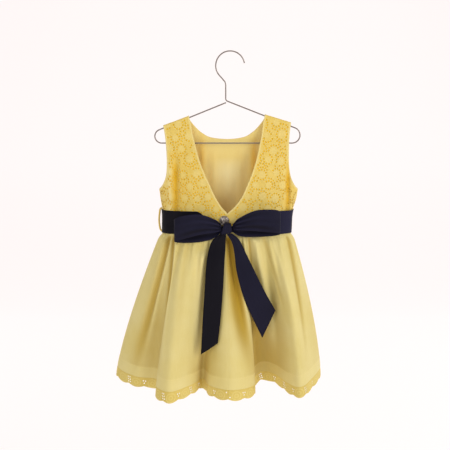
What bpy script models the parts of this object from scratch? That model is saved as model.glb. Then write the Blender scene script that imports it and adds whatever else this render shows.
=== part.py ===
"""A small child's sleeveless dress, seen from its back on a thin wire hanger.

Metres, +Z up. The origin is the inside of the hook's top, where a rail carries
the hanger. The back of the dress faces -Y, and +X is the right of that view.
Every panel that is cut and sewn is its own object, 0.3 mm from its neighbours.
"""

from collections import namedtuple
from math import cos, pi, radians, sin

import bmesh
import bpy
import numpy as np

# Cloth and seams
CLOTH = 0.0012
RIBBON = 0.0010
SEAM = 0.0003
SHARPNESS = 2.5

# Hanger
WIRE_RADIUS = 0.0013
HOOK_RADIUS = 0.0286
TIP_ANGLE = 10.0
BEND_STEP = 15.0
STRAIGHT_STEP = 0.03

# Bodice
WAIST_Z = -0.3612
CREST_STAND = 0.0003
WIRE_STAND = 0.0028
SIDE_STAND = 0.00025
UNDERARM_STAND = 0.0007
RIGHT_SHOULDER_LIFT = 0.0073
LIFT_FADE_Z = -0.215
FRONT_LAYER_GAP = 0.0026
BODICE_COLUMNS = 10
LINING_COLUMNS = 8

# Skirt
SKIRT_LENGTH = 0.322
TRIM_HEIGHT = 0.0215
SCALLOP_DEPTH = 0.005
SCALLOPS = 44
COLUMNS_PER_SCALLOP = 4
GATHERS = 28
GATHER_DEPTH = 0.0028
GATHER_RISE = 0.012
GATHER_FADE = 0.115
PUFF = 0.0042
PUFF_RISE = 0.009
SEAM_SHARES = (0.0, 0.25, 0.75, 1.0)
SEAM_CALM = 0.011
FLARE_POWER = 1.385
FLARE_POWER_SKEW = 0.115

# Sash, bow and button
SASH_TOP = -0.3140
SASH_BOTTOM = -0.3608
SASH_TOP_AT_KNOT = -0.3432
SASH_BOTTOM_AT_KNOT = -0.3545
SASH_NARROWS_FROM = 0.062
SASH_NARROW_HALF = 0.019
KNOT_CENTRE = (-0.0063, -0.0469, -0.3460)
KNOT_SIZE = (0.0220, 0.0140, 0.0230)
KNOT_ROUNDING = 0.0055
BUTTON_RADIUS = 0.0098
BUTTON_CENTRE = (-0.0116, -0.3322)
BUTTON_HEIGHT = 0.0044
TAIL_CLEARANCE = 0.0018
BELT_LOOP_RADIUS = 0.0011

Bend = namedtuple("Bend", "name straight radius turn")
WIRE_BENDS = (
    Bend("hook", 0.0, HOOK_RADIUS, 212.0),
    Bend("under the hook", 0.0140, 0.0120, -42.0),
    Bend("neck", 0.0266, 0.0060, 68.7),
    Bend("right end", 0.1450, 0.0157, -158.7),
    Bend("left end", 0.2615, 0.0137, -158.1),
    Bend("left arm", 0.1445, 0.0, 0.0),
)

Level = namedtuple("Level", "name z centre half_width back_depth front_depth")
LEVELS = (
    Level("shoulder", -0.1250, -0.0065, 0.1396, 0.0000, 0.0000),
    Level("yoke", -0.1700, -0.0055, 0.1396, 0.0075, 0.0080),
    Level("blade", -0.2130, -0.0045, 0.1396, 0.0180, 0.0170),
    Level("underarm", -0.2728, -0.0030, 0.1396, 0.0285, 0.0270),
    Level("chest", -0.2950, -0.0035, 0.1365, 0.0305, 0.0290),
    Level("sash top", -0.3140, -0.0050, 0.1318, 0.0325, 0.0310),
    Level("waist", WAIST_Z, -0.0067, 0.1298, 0.0340, 0.0330),
)

Row = namedtuple("Row", "name inner inner_z outer outer_z stand")
BACK_ROWS = (
    Row("crest", 0.0757, -0.1257, 0.1275, -0.1450, CREST_STAND),
    Row("crest turn", 0.0757, -0.12585, 0.1275, -0.14515, 0.0014),
    Row("over the wire", 0.0756, -0.1268, 0.1274, -0.1461, 0.0024),
    Row("behind the wire", 0.0752, -0.1290, 0.1271, -0.1483, WIRE_STAND),
    Row("strap", 0.0715, -0.1440, 0.1245, -0.1630, WIRE_STAND),
    Row("yoke", 0.0690, -0.1605, 0.1230, -0.1790, WIRE_STAND),
    Row("blade", 0.0645, -0.1810, 0.1220, -0.1980, WIRE_STAND),
    Row("armhole", 0.0570, -0.2110, 0.1218, -0.2200, WIRE_STAND),
    Row("low armhole", 0.0475, -0.2380, 0.1240, -0.2430, WIRE_STAND),
    Row("underarm curve", 0.0372, -0.2620, 0.1305, -0.2600, 0.0018),
    Row("underarm", 0.0268, -0.2850, 0.1396, -0.2728, UNDERARM_STAND),
    Row("ribs", 0.0140, -0.3040, 0.1365, -0.2950, SIDE_STAND),
    Row("foot of the V", SEAM / 2, -0.3182, 0.1318, -0.3140, SIDE_STAND),
    Row("waist", SEAM / 2, WAIST_Z, 0.1298, WAIST_Z, SIDE_STAND),
)
FRONT_ROWS = (
    Row("crest", 0.0757, -0.1257, 0.1275, -0.1450, CREST_STAND),
    Row("crest turn", 0.0757, -0.12585, 0.1275, -0.14515, 0.0014),
    Row("over the wire", 0.0756, -0.1268, 0.1274, -0.1461, 0.0024),
    Row("behind the wire", 0.0750, -0.1290, 0.1268, -0.1483, WIRE_STAND),
    Row("neck side", 0.0735, -0.1350, 0.1250, -0.1560, WIRE_STAND),
    Row("neck curve", 0.0625, -0.1490, 0.1225, -0.1720, WIRE_STAND),
    Row("scoop", 0.0505, -0.1600, 0.1200, -0.1880, WIRE_STAND),
    Row("low scoop", 0.0330, -0.1690, 0.1185, -0.2060, WIRE_STAND),
    Row("neck centre", 0.0, -0.1725, 0.1190, -0.2280, WIRE_STAND),
    Row("chest", 0.0, -0.2150, 0.1240, -0.2520, 0.0018),
    Row("underarm", 0.0, -0.2600, 0.1396, -0.2728, UNDERARM_STAND),
    Row("ribs", 0.0, -0.2900, 0.1365, -0.2950, SIDE_STAND),
    Row("sash top", 0.0, -0.3140, 0.1318, -0.3140, SIDE_STAND),
    Row("waist", 0.0, WAIST_Z, 0.1298, WAIST_Z, SIDE_STAND),
)
LINING_FIRST_ROW = 5
LINING_WIDTH = 0.955
LINING_LEVEL = -0.3580

Crease = namedtuple("Crease", "name x depth width top bottom")
CREASES = (
    Crease("left side of the back", -0.1100, 0.0050, 0.0110, -0.2350, -0.3120),
    Crease("right side of the back", 0.1150, 0.0050, 0.0110, -0.2350, -0.3120),
)

Fold = namedtuple("Fold", "name x y lift")
HEM_FOLDS = (
    Fold("centre back ridge", -0.0040, -0.1080, -0.0070),
    Fold("second ridge, right", 0.0300, -0.0980, -0.0060),
    Fold("second edge", 0.0480, -0.0700, -0.0020),
    Fold("second edge, under", 0.0475, -0.0420, 0.0030),
    Fold("deep trough", 0.0660, -0.0100, 0.0080),
    Fold("third rise", 0.0960, -0.0280, 0.0060),
    Fold("third ridge", 0.1370, -0.0960, -0.0020),
    Fold("third fall", 0.1640, -0.0640, 0.0020),
    Fold("right side", 0.1880, 0.0040, 0.0130),
    Fold("front ridge one", 0.1600, 0.0900, 0.0060),
    Fold("front trough one", 0.1140, 0.0480, 0.0060),
    Fold("front ridge two", 0.0720, 0.1080, 0.0),
    Fold("front trough two", 0.0280, 0.0540, 0.0040),
    Fold("front ridge three", -0.0200, 0.1120, 0.0),
    Fold("front trough three", -0.0700, 0.0540, 0.0040),
    Fold("front ridge four", -0.1180, 0.1060, 0.0),
    Fold("front trough four", -0.1620, 0.0520, 0.0040),
    Fold("front ridge five", -0.2060, 0.0700, 0.0040),
    Fold("left side", -0.2370, 0.0040, 0.0),
    Fold("left wing", -0.1960, -0.0400, 0.0),
    Fold("left valley", -0.1570, -0.0380, 0.0),
    Fold("first edge, under", -0.1440, -0.0620, 0.0),
    Fold("first edge", -0.1480, -0.0880, -0.0040),
    Fold("first ridge", -0.1200, -0.1160, -0.0090),
    Fold("first fall", -0.0860, -0.0820, 0.0),
    Fold("middle trough", -0.0620, -0.0420, 0.0040),
    Fold("second ridge, left", -0.0400, -0.0800, -0.0020),
)
SKIRT_ROWS = (0.0, 0.003, 0.010, 0.024, 0.058, 0.110, 0.170, 0.235, SKIRT_LENGTH - TRIM_HEIGHT)

Station = namedtuple("Station", "name x y top bottom")
LEFT_LOOP = (
    Station("near, at the knot", -0.0177, -0.0500, -0.3385, -0.3500),
    Station("near, gathered", -0.0290, -0.0565, -0.3270, -0.3520),
    Station("near, middle", -0.0600, -0.0625, -0.3160, -0.3565),
    Station("near, outer", -0.0960, -0.0610, -0.3195, -0.3660),
    Station("fold", -0.1105, -0.0535, -0.3275, -0.3715),
    Station("far, outer", -0.0960, -0.0460, -0.3235, -0.3755),
    Station("far, middle", -0.0620, -0.0425, -0.3230, -0.3745),
    Station("far, gathered", -0.0350, -0.0420, -0.3300, -0.3680),
    Station("far, at the knot", -0.0177, -0.0430, -0.3400, -0.3550),
)
RIGHT_LOOP = (
    Station("near, at the knot", 0.0051, -0.0500, -0.3370, -0.3470),
    Station("near, gathered", 0.0180, -0.0565, -0.3235, -0.3475),
    Station("near, middle", 0.0500, -0.0625, -0.3080, -0.3490),
    Station("near, outer", 0.0850, -0.0610, -0.3065, -0.3525),
    Station("fold", 0.0990, -0.0535, -0.3115, -0.3565),
    Station("far, outer", 0.0850, -0.0460, -0.3110, -0.3615),
    Station("far, middle", 0.0500, -0.0425, -0.3160, -0.3640),
    Station("far, gathered", 0.0220, -0.0420, -0.3270, -0.3630),
    Station("far, at the knot", 0.0051, -0.0430, -0.3400, -0.3540),
)
LOOP_BELLY = 0.0025
LOOP_STEPS = 2
LOOP_COLUMNS = 4

Cut = namedtuple("Cut", "name left left_z right right_z")
LEFT_TAIL = (
    Cut("knot", -0.0185, -0.3578, -0.0082, -0.3578),
    Cut("spread", -0.0350, -0.3700, -0.0088, -0.3700),
    Cut("full", -0.0425, -0.3880, -0.0092, -0.3860),
    Cut("upper", -0.0472, -0.4150, -0.0112, -0.4110),
    Cut("middle", -0.0510, -0.4700, -0.0140, -0.4610),
    Cut("lower", -0.0550, -0.5350, -0.0190, -0.5220),
    Cut("slant end", -0.0580, -0.5920, -0.0244, -0.5690),
)
RIGHT_TAIL = (
    Cut("knot", -0.0072, -0.3578, 0.0040, -0.3578),
    Cut("spread", 0.0035, -0.3740, 0.0190, -0.3700),
    Cut("full", 0.0085, -0.3960, 0.0320, -0.3960),
    Cut("upper", 0.0120, -0.4260, 0.0449, -0.4215),
    Cut("middle", 0.0200, -0.4600, 0.0590, -0.4500),
    Cut("lower", 0.0345, -0.5020, 0.0742, -0.4800),
    Cut("slant end", 0.0648, -0.5680, 0.0910, -0.5105),
)
TAIL_COLUMNS = 3

BeltLoop = namedtuple("BeltLoop", "name side bulge")
BELT_LOOPS = (
    BeltLoop("belt_loop_left", -1, 0.0075),
    BeltLoop("belt_loop_right", 1, 0.0020),
)
BELT_LOOP_TOP = -0.3105
BELT_LOOP_BOTTOM = -0.3596


def make_material(name, colour, roughness, metallic=0.0):
    """A plain finish for one kind of cloth or metal."""
    material = bpy.data.materials.new(name)
    material.use_nodes = True
    shader = material.node_tree.nodes["Principled BSDF"]
    shader.inputs["Base Color"].default_value = (*colour, 1.0)
    shader.inputs["Roughness"].default_value = roughness
    shader.inputs["Metallic"].default_value = metallic
    return material


def add_object(name, data, material, collection):
    """One named piece of the dress or the hanger."""
    piece = bpy.data.objects.new(name, data)
    data.materials.append(material)
    collection.objects.link(piece)
    return piece


def cloth_piece(name, grids, thickness, material, collection, closed=False):
    """Cloth of one thickness through one or more grids of points."""
    form = bmesh.new()
    for grid in grids:
        rows, columns = grid.shape[:2]
        points = [[form.verts.new(point) for point in row] for row in grid]
        for i in range(rows - 1):
            for j in range(columns if closed else columns - 1):
                k = (j + 1) % columns
                form.faces.new((points[i][j], points[i + 1][j], points[i + 1][k], points[i][k]))
    bmesh.ops.remove_doubles(form, verts=form.verts, dist=0.00002)
    bmesh.ops.recalc_face_normals(form, faces=form.faces)
    mesh = bpy.data.meshes.new(name)
    form.to_mesh(mesh)
    form.free()
    mesh.shade_smooth()
    piece = add_object(name, mesh, material, collection)
    wall = piece.modifiers.new("Wall", "SOLIDIFY")
    wall.thickness = thickness
    wall.offset = 0.0
    wall.use_quality_normals = True
    return piece


def tube_piece(name, points, radius, material, collection):
    """A round wire or cord along a list of points."""
    curve = bpy.data.curves.new(name, "CURVE")
    curve.dimensions = "3D"
    curve.bevel_depth = radius
    curve.bevel_resolution = 2
    curve.use_fill_caps = True
    spline = curve.splines.new("POLY")
    spline.points.add(len(points) - 1)
    for spot, point in zip(spline.points, points):
        spot.co = (*point, 1.0)
    return add_object(name, curve, material, collection)


def smooth_rows(rows, steps):
    """Points between the rows of a table, on a curve through them."""
    table = np.array([row[1:] for row in rows])
    padded = np.vstack((2 * table[0] - table[1], table, 2 * table[-1] - table[-2]))
    places = np.linspace(0, len(table) - 1, steps * (len(table) - 1) + 1)
    return np.array([curve_through(padded, place) for place in places])


def curve_through(padded, place):
    """The point of a smooth curve at a place counted in rows."""
    i = min(int(place), len(padded) - 4)
    t = place - i
    a, b, c, d = padded[i:i + 4]
    return 0.5 * (2 * b + (c - a) * t + (2 * a - 5 * b + 4 * c - d) * t**2
                  + (3 * b - a - 3 * c + d) * t**3)


def keep_seams(grid):
    """Draw the two side edges of a panel back by half a seam."""
    trimmed = grid.copy()
    for edge, inner in ((0, 1), (-1, -2)):
        away = grid[:, inner] - grid[:, edge]
        away /= np.linalg.norm(away, axis=1)[:, None]
        trimmed[:, edge] += away * SEAM / 2
    return trimmed


def hanger_route():
    """The hanger's one wire, walked from the tip of the hook bend by bend."""
    place = np.array([HOOK_RADIUS * cos(radians(TIP_ANGLE)),
                      WIRE_RADIUS - HOOK_RADIUS + HOOK_RADIUS * sin(radians(TIP_ANGLE))])
    heading = radians(TIP_ANGLE + 90)
    route = [place]
    for bend in WIRE_BENDS:
        start = place
        steps = int(bend.straight / STRAIGHT_STEP) + 1 if bend.straight else 0
        for step in range(1, steps + 1):
            place = start + np.array([cos(heading), sin(heading)]) * bend.straight * step / steps
            route.append(place)
        side = 1 if bend.turn > 0 else -1
        hub = place + bend.radius * side * np.array([-sin(heading), cos(heading)])
        steps = int(abs(bend.turn) / BEND_STEP) + 1 if bend.turn else 0
        for step in range(1, steps + 1):
            turned = heading + radians(bend.turn) * step / steps
            place = hub + bend.radius * side * np.array([sin(turned), -cos(turned)])
            route.append(place)
        heading += radians(bend.turn)
    return [(x, 0.0, z) for x, z in route]


def level_value(z, column):
    """A measure of the bodice at one height, from the table of levels."""
    heights = [-level.z for level in LEVELS]
    values = [getattr(level, column) for level in LEVELS]
    return np.interp(-z, heights, values)


def profile(across):
    """The rounded oblong of the bodice: 1 at the middle, 0 at the side."""
    return (1 - np.clip(np.abs(across), 0, 1)**SHARPNESS)**(1 / SHARPNESS)


def crease_depth(x, z):
    """How far the soft creases of the back sink in at one point."""
    sunk = 0.0
    for crease in CREASES:
        along = (crease.top - z) / (crease.top - crease.bottom)
        if 0 < along < 1:
            sunk += crease.depth * sin(pi * along) * np.exp(-((x - crease.x) / crease.width)**2)
    return sunk


def bodice_half(rows, side, facing, columns, width=1.0, inward=0.0):
    """Half a front or back: side -1 is left, facing -1 is the back."""
    depth_column = "back_depth" if facing < 0 else "front_depth"
    grid = []
    for row in rows:
        half = level_value(row.outer_z, "half_width")
        first = np.arcsin(min(row.inner / half, 1.0))
        last = np.arcsin(min(row.outer * width / half, 1.0))
        line = []
        for share in np.linspace(0, 1, columns + 1):
            across = sin(first + (last - first) * share)
            along = (across * half - row.inner) / (row.outer - row.inner)
            z = row.inner_z + (row.outer_z - row.inner_z) * along
            x = level_value(z, "centre") + side * across * (half - 2 * inward)
            y = row.stand + level_value(z, depth_column) * profile(across)
            if facing < 0:
                y -= crease_depth(x, z)
            if side > 0:
                fade = np.clip((LIFT_FADE_Z - z) / (LIFT_FADE_Z - rows[0].inner_z), 0, 1)
                z += RIGHT_SHOULDER_LIFT * (0.35 + 0.65 * along) * fade
            line.append((x, facing * (y - inward), z))
        grid.append(line)
    return np.array(grid)


class ClosedLine:
    """A closed line in plan, read by the share of its length from the centre back."""

    def __init__(self, points):
        self.points = np.vstack((points, points[:1]))
        steps = np.linalg.norm(np.diff(self.points[:, :2], axis=0), axis=1)
        self.shares = np.concatenate(((0,), np.cumsum(steps))) / steps.sum()
        self.length = steps.sum()

    def at(self, shares):
        shares = np.mod(shares, 1.0)
        columns = [np.interp(shares, self.shares, column) for column in self.points.T]
        return np.stack(columns, axis=-1)


def waist_line():
    """The rounded oblong that the skirt is gathered to."""
    waist = LEVELS[-1]
    angles = np.linspace(-pi / 2, 3 * pi / 2, 720, endpoint=False)
    across = np.sign(np.cos(angles)) * np.abs(np.cos(angles))**(2 / SHARPNESS)
    out = np.sign(np.sin(angles)) * np.abs(np.sin(angles))**(2 / SHARPNESS)
    depth = np.where(out < 0, waist.back_depth, waist.front_depth)
    return ClosedLine(np.stack((waist.centre + waist.half_width * across, depth * out), axis=1))


def hem_line():
    """The hem in plan, with its lift as a third column."""
    table = np.array([fold[1:] for fold in HEM_FOLDS])
    padded = np.vstack((table[-1:], table, table[:2]))
    places = np.linspace(0, len(table), 24 * len(table), endpoint=False)
    return ClosedLine(np.array([curve_through(padded, place) for place in places]))


def skirt_surface(shares, lengths):
    """Points of the skirt for shares of the way round and cloth lengths from the waist."""
    waist = waist_line().at(shares)
    hem = hem_line().at(shares)
    spread = hem[:, :2] - waist
    reach = np.linalg.norm(spread, axis=1)
    power = FLARE_POWER + FLARE_POWER_SKEW * (waist[:, 0] - LEVELS[-1].centre) / LEVELS[-1].half_width
    fine = np.linspace(0, 1, 81)
    slope = (reach * power / SKIRT_LENGTH)[:, None] * (1 - fine[None, :])**(power[:, None] - 1)
    fall = np.sqrt(np.clip(1 - slope**2, 0.05, 1))
    fall = np.cumsum((fall[:, 1:] + fall[:, :-1]) / 2, axis=1) * SKIRT_LENGTH / 80
    fall = np.hstack((np.zeros((len(shares), 1)), fall))
    rows = []
    for length in lengths:
        down = length / SKIRT_LENGTH
        plan = waist + spread * (1 - (1 - down)**power)[:, None]
        z = WAIST_Z - SEAM - CLOTH / 8 - np.array([np.interp(down, fine, line) for line in fall])
        z += hem[:, 2] * down**2
        plan += gather_push(shares, length)[:, None] * outward(plan, shares)
        rows.append(np.column_stack((plan, z)))
    return np.array(rows)


def gather_push(shares, length):
    """How far the gathers push the cloth out below the waist seam."""
    wobble = 0.45 * np.sin(2 * pi * 3 * shares + 1.0) + 0.3 * np.sin(2 * pi * 7 * shares)
    to_seam = np.min([np.abs(np.mod(shares, 1.0) - seam) for seam in SEAM_SHARES], axis=0)
    wave = np.cos(2 * pi * GATHERS * shares + wobble) * (1 - np.exp(-(to_seam / SEAM_CALM)**2))
    depth = GATHER_DEPTH * (1 - np.exp(-(length / GATHER_RISE)**2)) * np.exp(-(length / GATHER_FADE)**2)
    return PUFF * (1 - np.exp(-(length / PUFF_RISE)**2)) * np.exp(-length / SKIRT_LENGTH) + depth * wave


def outward(plan, shares):
    """Horizontal directions out of the waist's oblong at the same shares."""
    line = waist_line()
    ahead = line.at(shares + 0.004) - line.at(shares - 0.004)
    ahead /= np.linalg.norm(ahead, axis=1)[:, None]
    return np.column_stack((ahead[:, 1], -ahead[:, 0]))


def panel_shares(start, end):
    """The columns of one skirt panel, shared out by the scallops of its hem."""
    columns = round((end - start) * SCALLOPS * COLUMNS_PER_SCALLOP)
    return np.linspace(start, end, columns + 1)


def trim_grid(shares):
    """The scalloped border below the skirt's own hem."""
    top, bottom = skirt_surface(shares, (SKIRT_LENGTH - TRIM_HEIGHT + SEAM, SKIRT_LENGTH))
    scallop = np.abs(np.sin(pi * SCALLOPS * shares))
    share = 1 - SCALLOP_DEPTH / TRIM_HEIGHT * (1 - scallop)
    return np.array([top, top + (bottom - top) * share[:, None]])


def sash_grid():
    """The sash all round the waist, narrowed where the bow's knot takes it in."""
    lines = []
    out = CLOTH / 2 + SEAM + CLOTH / 2
    for down in (0.0, 0.5, 1.0):
        line = []
        for step in range(4 * BODICE_COLUMNS):
            angle = pi / 2 * step / BODICE_COLUMNS
            across, facing = sin(angle), -cos(angle)
            flat_z = SASH_TOP + (SASH_BOTTOM - SASH_TOP) * down
            half = level_value(flat_z, "half_width")
            x = level_value(flat_z, "centre") + across * (half + out)
            depth = level_value(flat_z, "back_depth" if facing < 0 else "front_depth")
            y = np.sign(facing) * (depth * profile(across) + out * profile(across) + SIDE_STAND)
            z = flat_z
            if facing < 0:
                away = SASH_NARROWS_FROM - abs(x - KNOT_CENTRE[0])
                near = np.clip(away / (SASH_NARROWS_FROM - SASH_NARROW_HALF), 0, 1)
                near = near * near * (3 - 2 * near)
                tied_z = SASH_TOP_AT_KNOT + (SASH_BOTTOM_AT_KNOT - SASH_TOP_AT_KNOT) * down
                z = flat_z + (tied_z - flat_z) * near
                y -= 0.0030 * near**3
            line.append((x, y, z))
        lines.append(line)
    return np.array(lines)


def loop_grid(stations):
    """One loop of the bow: out from the knot, round its fold and back."""
    lines = []
    for x, y, top, bottom in smooth_rows(stations, LOOP_STEPS):
        line = []
        for share in np.linspace(0, 1, LOOP_COLUMNS + 1):
            belly = LOOP_BELLY * sin(pi * share) * np.sign(y - LEFT_LOOP[4].y)
            line.append((x, y + belly, top + (bottom - top) * share))
        lines.append(line)
    return np.array(lines)


def skirt_back_columns():
    """Meridians of the back of the skirt, to lay the bow's tails on."""
    shares = np.linspace(-0.25, 0.25, 161)
    surface = skirt_surface(shares, np.linspace(0, SKIRT_LENGTH, 33))
    return surface.transpose(1, 0, 2)


def stand_off(columns, left, right, z):
    """The furthest back that the skirt reaches between two sides at one height."""
    reach = 0.0
    for column in columns:
        x = np.interp(-z, -column[:, 2], column[:, 0])
        if left - 0.004 < x < right + 0.004:
            reach = min(reach, np.interp(-z, -column[:, 2], column[:, 1]))
    return reach


def tail_grid(cuts, columns):
    """One hanging end of the bow, laid just clear of the skirt behind it."""
    lines = []
    for left, left_z, right, right_z in smooth_rows(cuts, 2):
        line = []
        lowest = min(left_z, right_z)
        y = min(KNOT_CENTRE[1], stand_off(columns, left, right, lowest) - TAIL_CLEARANCE)
        for share in np.linspace(0, 1, TAIL_COLUMNS + 1):
            line.append((left + (right - left) * share, y, left_z + (right_z - left_z) * share))
        lines.append(line)
    return np.array(lines)


def belt_loop_route(loop):
    """A cord from above the sash to below it at one side seam."""
    route = []
    for share in np.linspace(0, 1, 11):
        z = BELT_LOOP_TOP + (BELT_LOOP_BOTTOM - BELT_LOOP_TOP) * share
        side = level_value(z, "half_width") + CLOTH / 2 + SEAM + CLOTH + SEAM + BELT_LOOP_RADIUS
        bulge = loop.bulge * sin(pi * share)
        tuck = 0.0011 if share == 0 else 0.0
        x = level_value(z, "centre") + loop.side * (side + bulge - tuck)
        route.append((x, 0.0, z))
    return route


def button_piece(material, collection):
    """A domed button, turned about its own axis and faced to the back."""
    outline = ((0.0, 1.0), (0.42, 0.95), (0.76, 0.72), (0.95, 0.40), (1.0, 0.18), (0.93, 0.0), (0.0, 0.0))
    mesh = bpy.data.meshes.new("button")
    points = [(share * BUTTON_RADIUS, 0.0, height * BUTTON_HEIGHT) for share, height in outline]
    mesh.from_pydata(points, [(i, i + 1) for i in range(len(points) - 1)], [])
    piece = add_object("button", mesh, material, collection)
    turn = piece.modifiers.new("Turn", "SCREW")
    turn.steps = 20
    turn.render_steps = 20
    turn.use_merge_vertices = True
    turn.merge_threshold = 0.00002
    x, z = BUTTON_CENTRE
    bodice = SIDE_STAND + level_value(z, "back_depth") + CLOTH / 2
    piece.location = (x, -bodice - SEAM, z)
    piece.rotation_euler = (pi / 2, 0.0, 0.0)
    return piece


def knot_piece(material, collection):
    """The bow's knot: a small soft block."""
    form = bmesh.new()
    bmesh.ops.create_cube(form, size=1.0)
    bmesh.ops.scale(form, vec=KNOT_SIZE, verts=form.verts)
    mesh = bpy.data.meshes.new("bow_knot")
    form.to_mesh(mesh)
    form.free()
    piece = add_object("bow_knot", mesh, material, collection)
    piece.location = KNOT_CENTRE
    rounding = piece.modifiers.new("Rounding", "BEVEL")
    rounding.width = KNOT_ROUNDING
    rounding.segments = 3
    rounding.limit_method = "NONE"
    return piece


def build_bodice(lace, lining, collection):
    """Two backs, one front and the lining that shows inside the neck."""
    for name, side in (("bodice_back_left", -1), ("bodice_back_right", 1)):
        grid = bodice_half(BACK_ROWS, side, -1, BODICE_COLUMNS)
        cloth_piece(name, [grid], CLOTH, lace, collection)
    halves = [bodice_half(FRONT_ROWS, side, 1, BODICE_COLUMNS) for side in (-1, 1)]
    cloth_piece("bodice_front", halves, CLOTH, lace, collection)
    rows = FRONT_ROWS[LINING_FIRST_ROW:-1]
    rows += (FRONT_ROWS[-1]._replace(inner_z=LINING_LEVEL, outer_z=LINING_LEVEL),)
    halves = [bodice_half(rows, side, 1, LINING_COLUMNS, LINING_WIDTH, FRONT_LAYER_GAP)
              for side in (-1, 1)]
    cloth_piece("bodice_front_lining", halves, CLOTH, lining, collection)


def build_skirt(cotton, border, collection):
    """Two backs and a front, each with its scalloped border."""
    for part, start, end in (("back_right", 0.0, 0.25), ("front", 0.25, 0.75), ("back_left", 0.75, 1.0)):
        shares = panel_shares(start, end)
        panel = keep_seams(skirt_surface(shares, SKIRT_ROWS))
        cloth_piece("skirt_" + part, [panel], CLOTH, cotton, collection)
        cloth_piece("hem_trim_" + part, [keep_seams(trim_grid(shares))], CLOTH, border, collection)


def build_sash(satin, cotton, collection):
    """The sash, its bow with two loops and two tails, and the belt loops."""
    cloth_piece("sash_band", [sash_grid()], CLOTH, satin, collection, closed=True)
    cloth_piece("bow_loop_left", [loop_grid(LEFT_LOOP)], RIBBON, satin, collection)
    cloth_piece("bow_loop_right", [loop_grid(RIGHT_LOOP)], RIBBON, satin, collection)
    knot_piece(satin, collection)
    columns = skirt_back_columns()
    cloth_piece("bow_tail_left", [tail_grid(LEFT_TAIL, columns)], RIBBON, satin, collection)
    cloth_piece("bow_tail_right", [tail_grid(RIGHT_TAIL, columns)], RIBBON, satin, collection)
    for loop in BELT_LOOPS:
        tube_piece(loop.name, belt_loop_route(loop), BELT_LOOP_RADIUS, cotton, collection)


def build():
    """The whole dress on its hanger."""
    for item in list(bpy.data.objects):
        bpy.data.objects.remove(item)
    collection = bpy.data.collections.new("embroidered_dress")
    bpy.context.scene.collection.children.link(collection)
    lace = make_material("eyelet_cotton", (0.73, 0.56, 0.20), 0.85)
    lining = make_material("lining_cotton", (0.70, 0.50, 0.16), 0.85)
    cotton = make_material("plain_cotton", (0.70, 0.60, 0.28), 0.85)
    satin = make_material("navy_satin", (0.022, 0.019, 0.034), 0.45)
    steel = make_material("hanger_wire", (0.18, 0.15, 0.13), 0.4, 0.8)
    shell = make_material("button_shell", (0.30, 0.29, 0.28), 0.25, 0.6)
    tube_piece("hanger_wire", hanger_route(), WIRE_RADIUS, steel, collection)
    build_bodice(lace, lining, collection)
    build_skirt(cotton, lace, collection)
    build_sash(satin, cotton, collection)
    button_piece(shell, collection)


build()
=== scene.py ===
"""The looks of a small child's sleeveless dress, seen from its back on a wire hanger.

Metres, +Z up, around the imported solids. The back of the dress faces -Y. Flat cloth
is laid out first, with its eyelets and raised stitching, and then bent to its place.
"""

from collections import namedtuple
from math import cos, pi, radians, sin

import bpy
import numpy as np
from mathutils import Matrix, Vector
from mathutils.geometry import delaunay_2d_cdt


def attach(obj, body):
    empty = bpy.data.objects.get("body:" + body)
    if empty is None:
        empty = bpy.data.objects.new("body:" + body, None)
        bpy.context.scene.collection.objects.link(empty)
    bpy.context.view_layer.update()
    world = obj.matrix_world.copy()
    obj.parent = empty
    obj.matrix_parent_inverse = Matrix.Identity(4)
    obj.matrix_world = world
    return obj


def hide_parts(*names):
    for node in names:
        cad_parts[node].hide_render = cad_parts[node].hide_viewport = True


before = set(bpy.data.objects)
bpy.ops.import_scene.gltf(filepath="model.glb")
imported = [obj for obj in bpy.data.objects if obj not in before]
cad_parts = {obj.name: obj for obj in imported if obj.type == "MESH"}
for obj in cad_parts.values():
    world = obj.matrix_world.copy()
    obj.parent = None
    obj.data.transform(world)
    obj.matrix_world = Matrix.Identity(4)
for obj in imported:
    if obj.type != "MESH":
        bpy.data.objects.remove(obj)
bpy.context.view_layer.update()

# Cloth
LACE = 0.0005
LINING = 0.0004
COTTON = 0.0005
SATIN = 0.0006
SEAM = 0.00006
SHARPNESS = 2.5
LINING_GAP = 0.0008
WELD_REACH = 0.00002
LEAST_APART = 0.0002

# Hanger
WIRE_RADIUS = 0.0013
WIRE_SIDES = 16
HOOK_RADIUS = 0.0286
TIP_ANGLE = 10.0
BEND_STEP = 5.0
STRAIGHT_STEP = 0.010

# Bodice
WAIST_Z = -0.3612
LACE_FOOT = -0.3520
STRAP_ROLL = 0.0028
CREST_EXTRA = (pi / 2 - 1) * STRAP_ROLL
SHOULDER_SETTLE = 0.012
CREST_INNER = 0.0757
CREST_INNER_Z = -0.1257
CREST_SLOPE = -0.3726
RIGHT_SHOULDER_LIFT = 0.0073
LIFT_FADE_Z = -0.215
LIFT_REACH = 0.050
FRONT_LAYER_GAP = 0.0026
LACE_STEP = 0.0013
EDGE_BAND = 0.0034
EDGE_RAISE = 0.00030
EDGE_STEPS = 8
SIDE_POINTS = 30
LEVEL_STEPS = 400
SIDE_CLOTH = 0.75
HALVINGS = 22
CREASE_CALM = 0.008
LEAST_STAND = 0.00028
OUTER_LIFT = 0.65
LINING_REACH = 0.985
LINING_LEAST = 0.004
BACK_LINING_COLUMNS = 44
BACK_LINING_INSET = 0.0016
FRONT_LINING_COLUMNS = 60
FRONT_LINING_INSET = 0.0012

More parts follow.
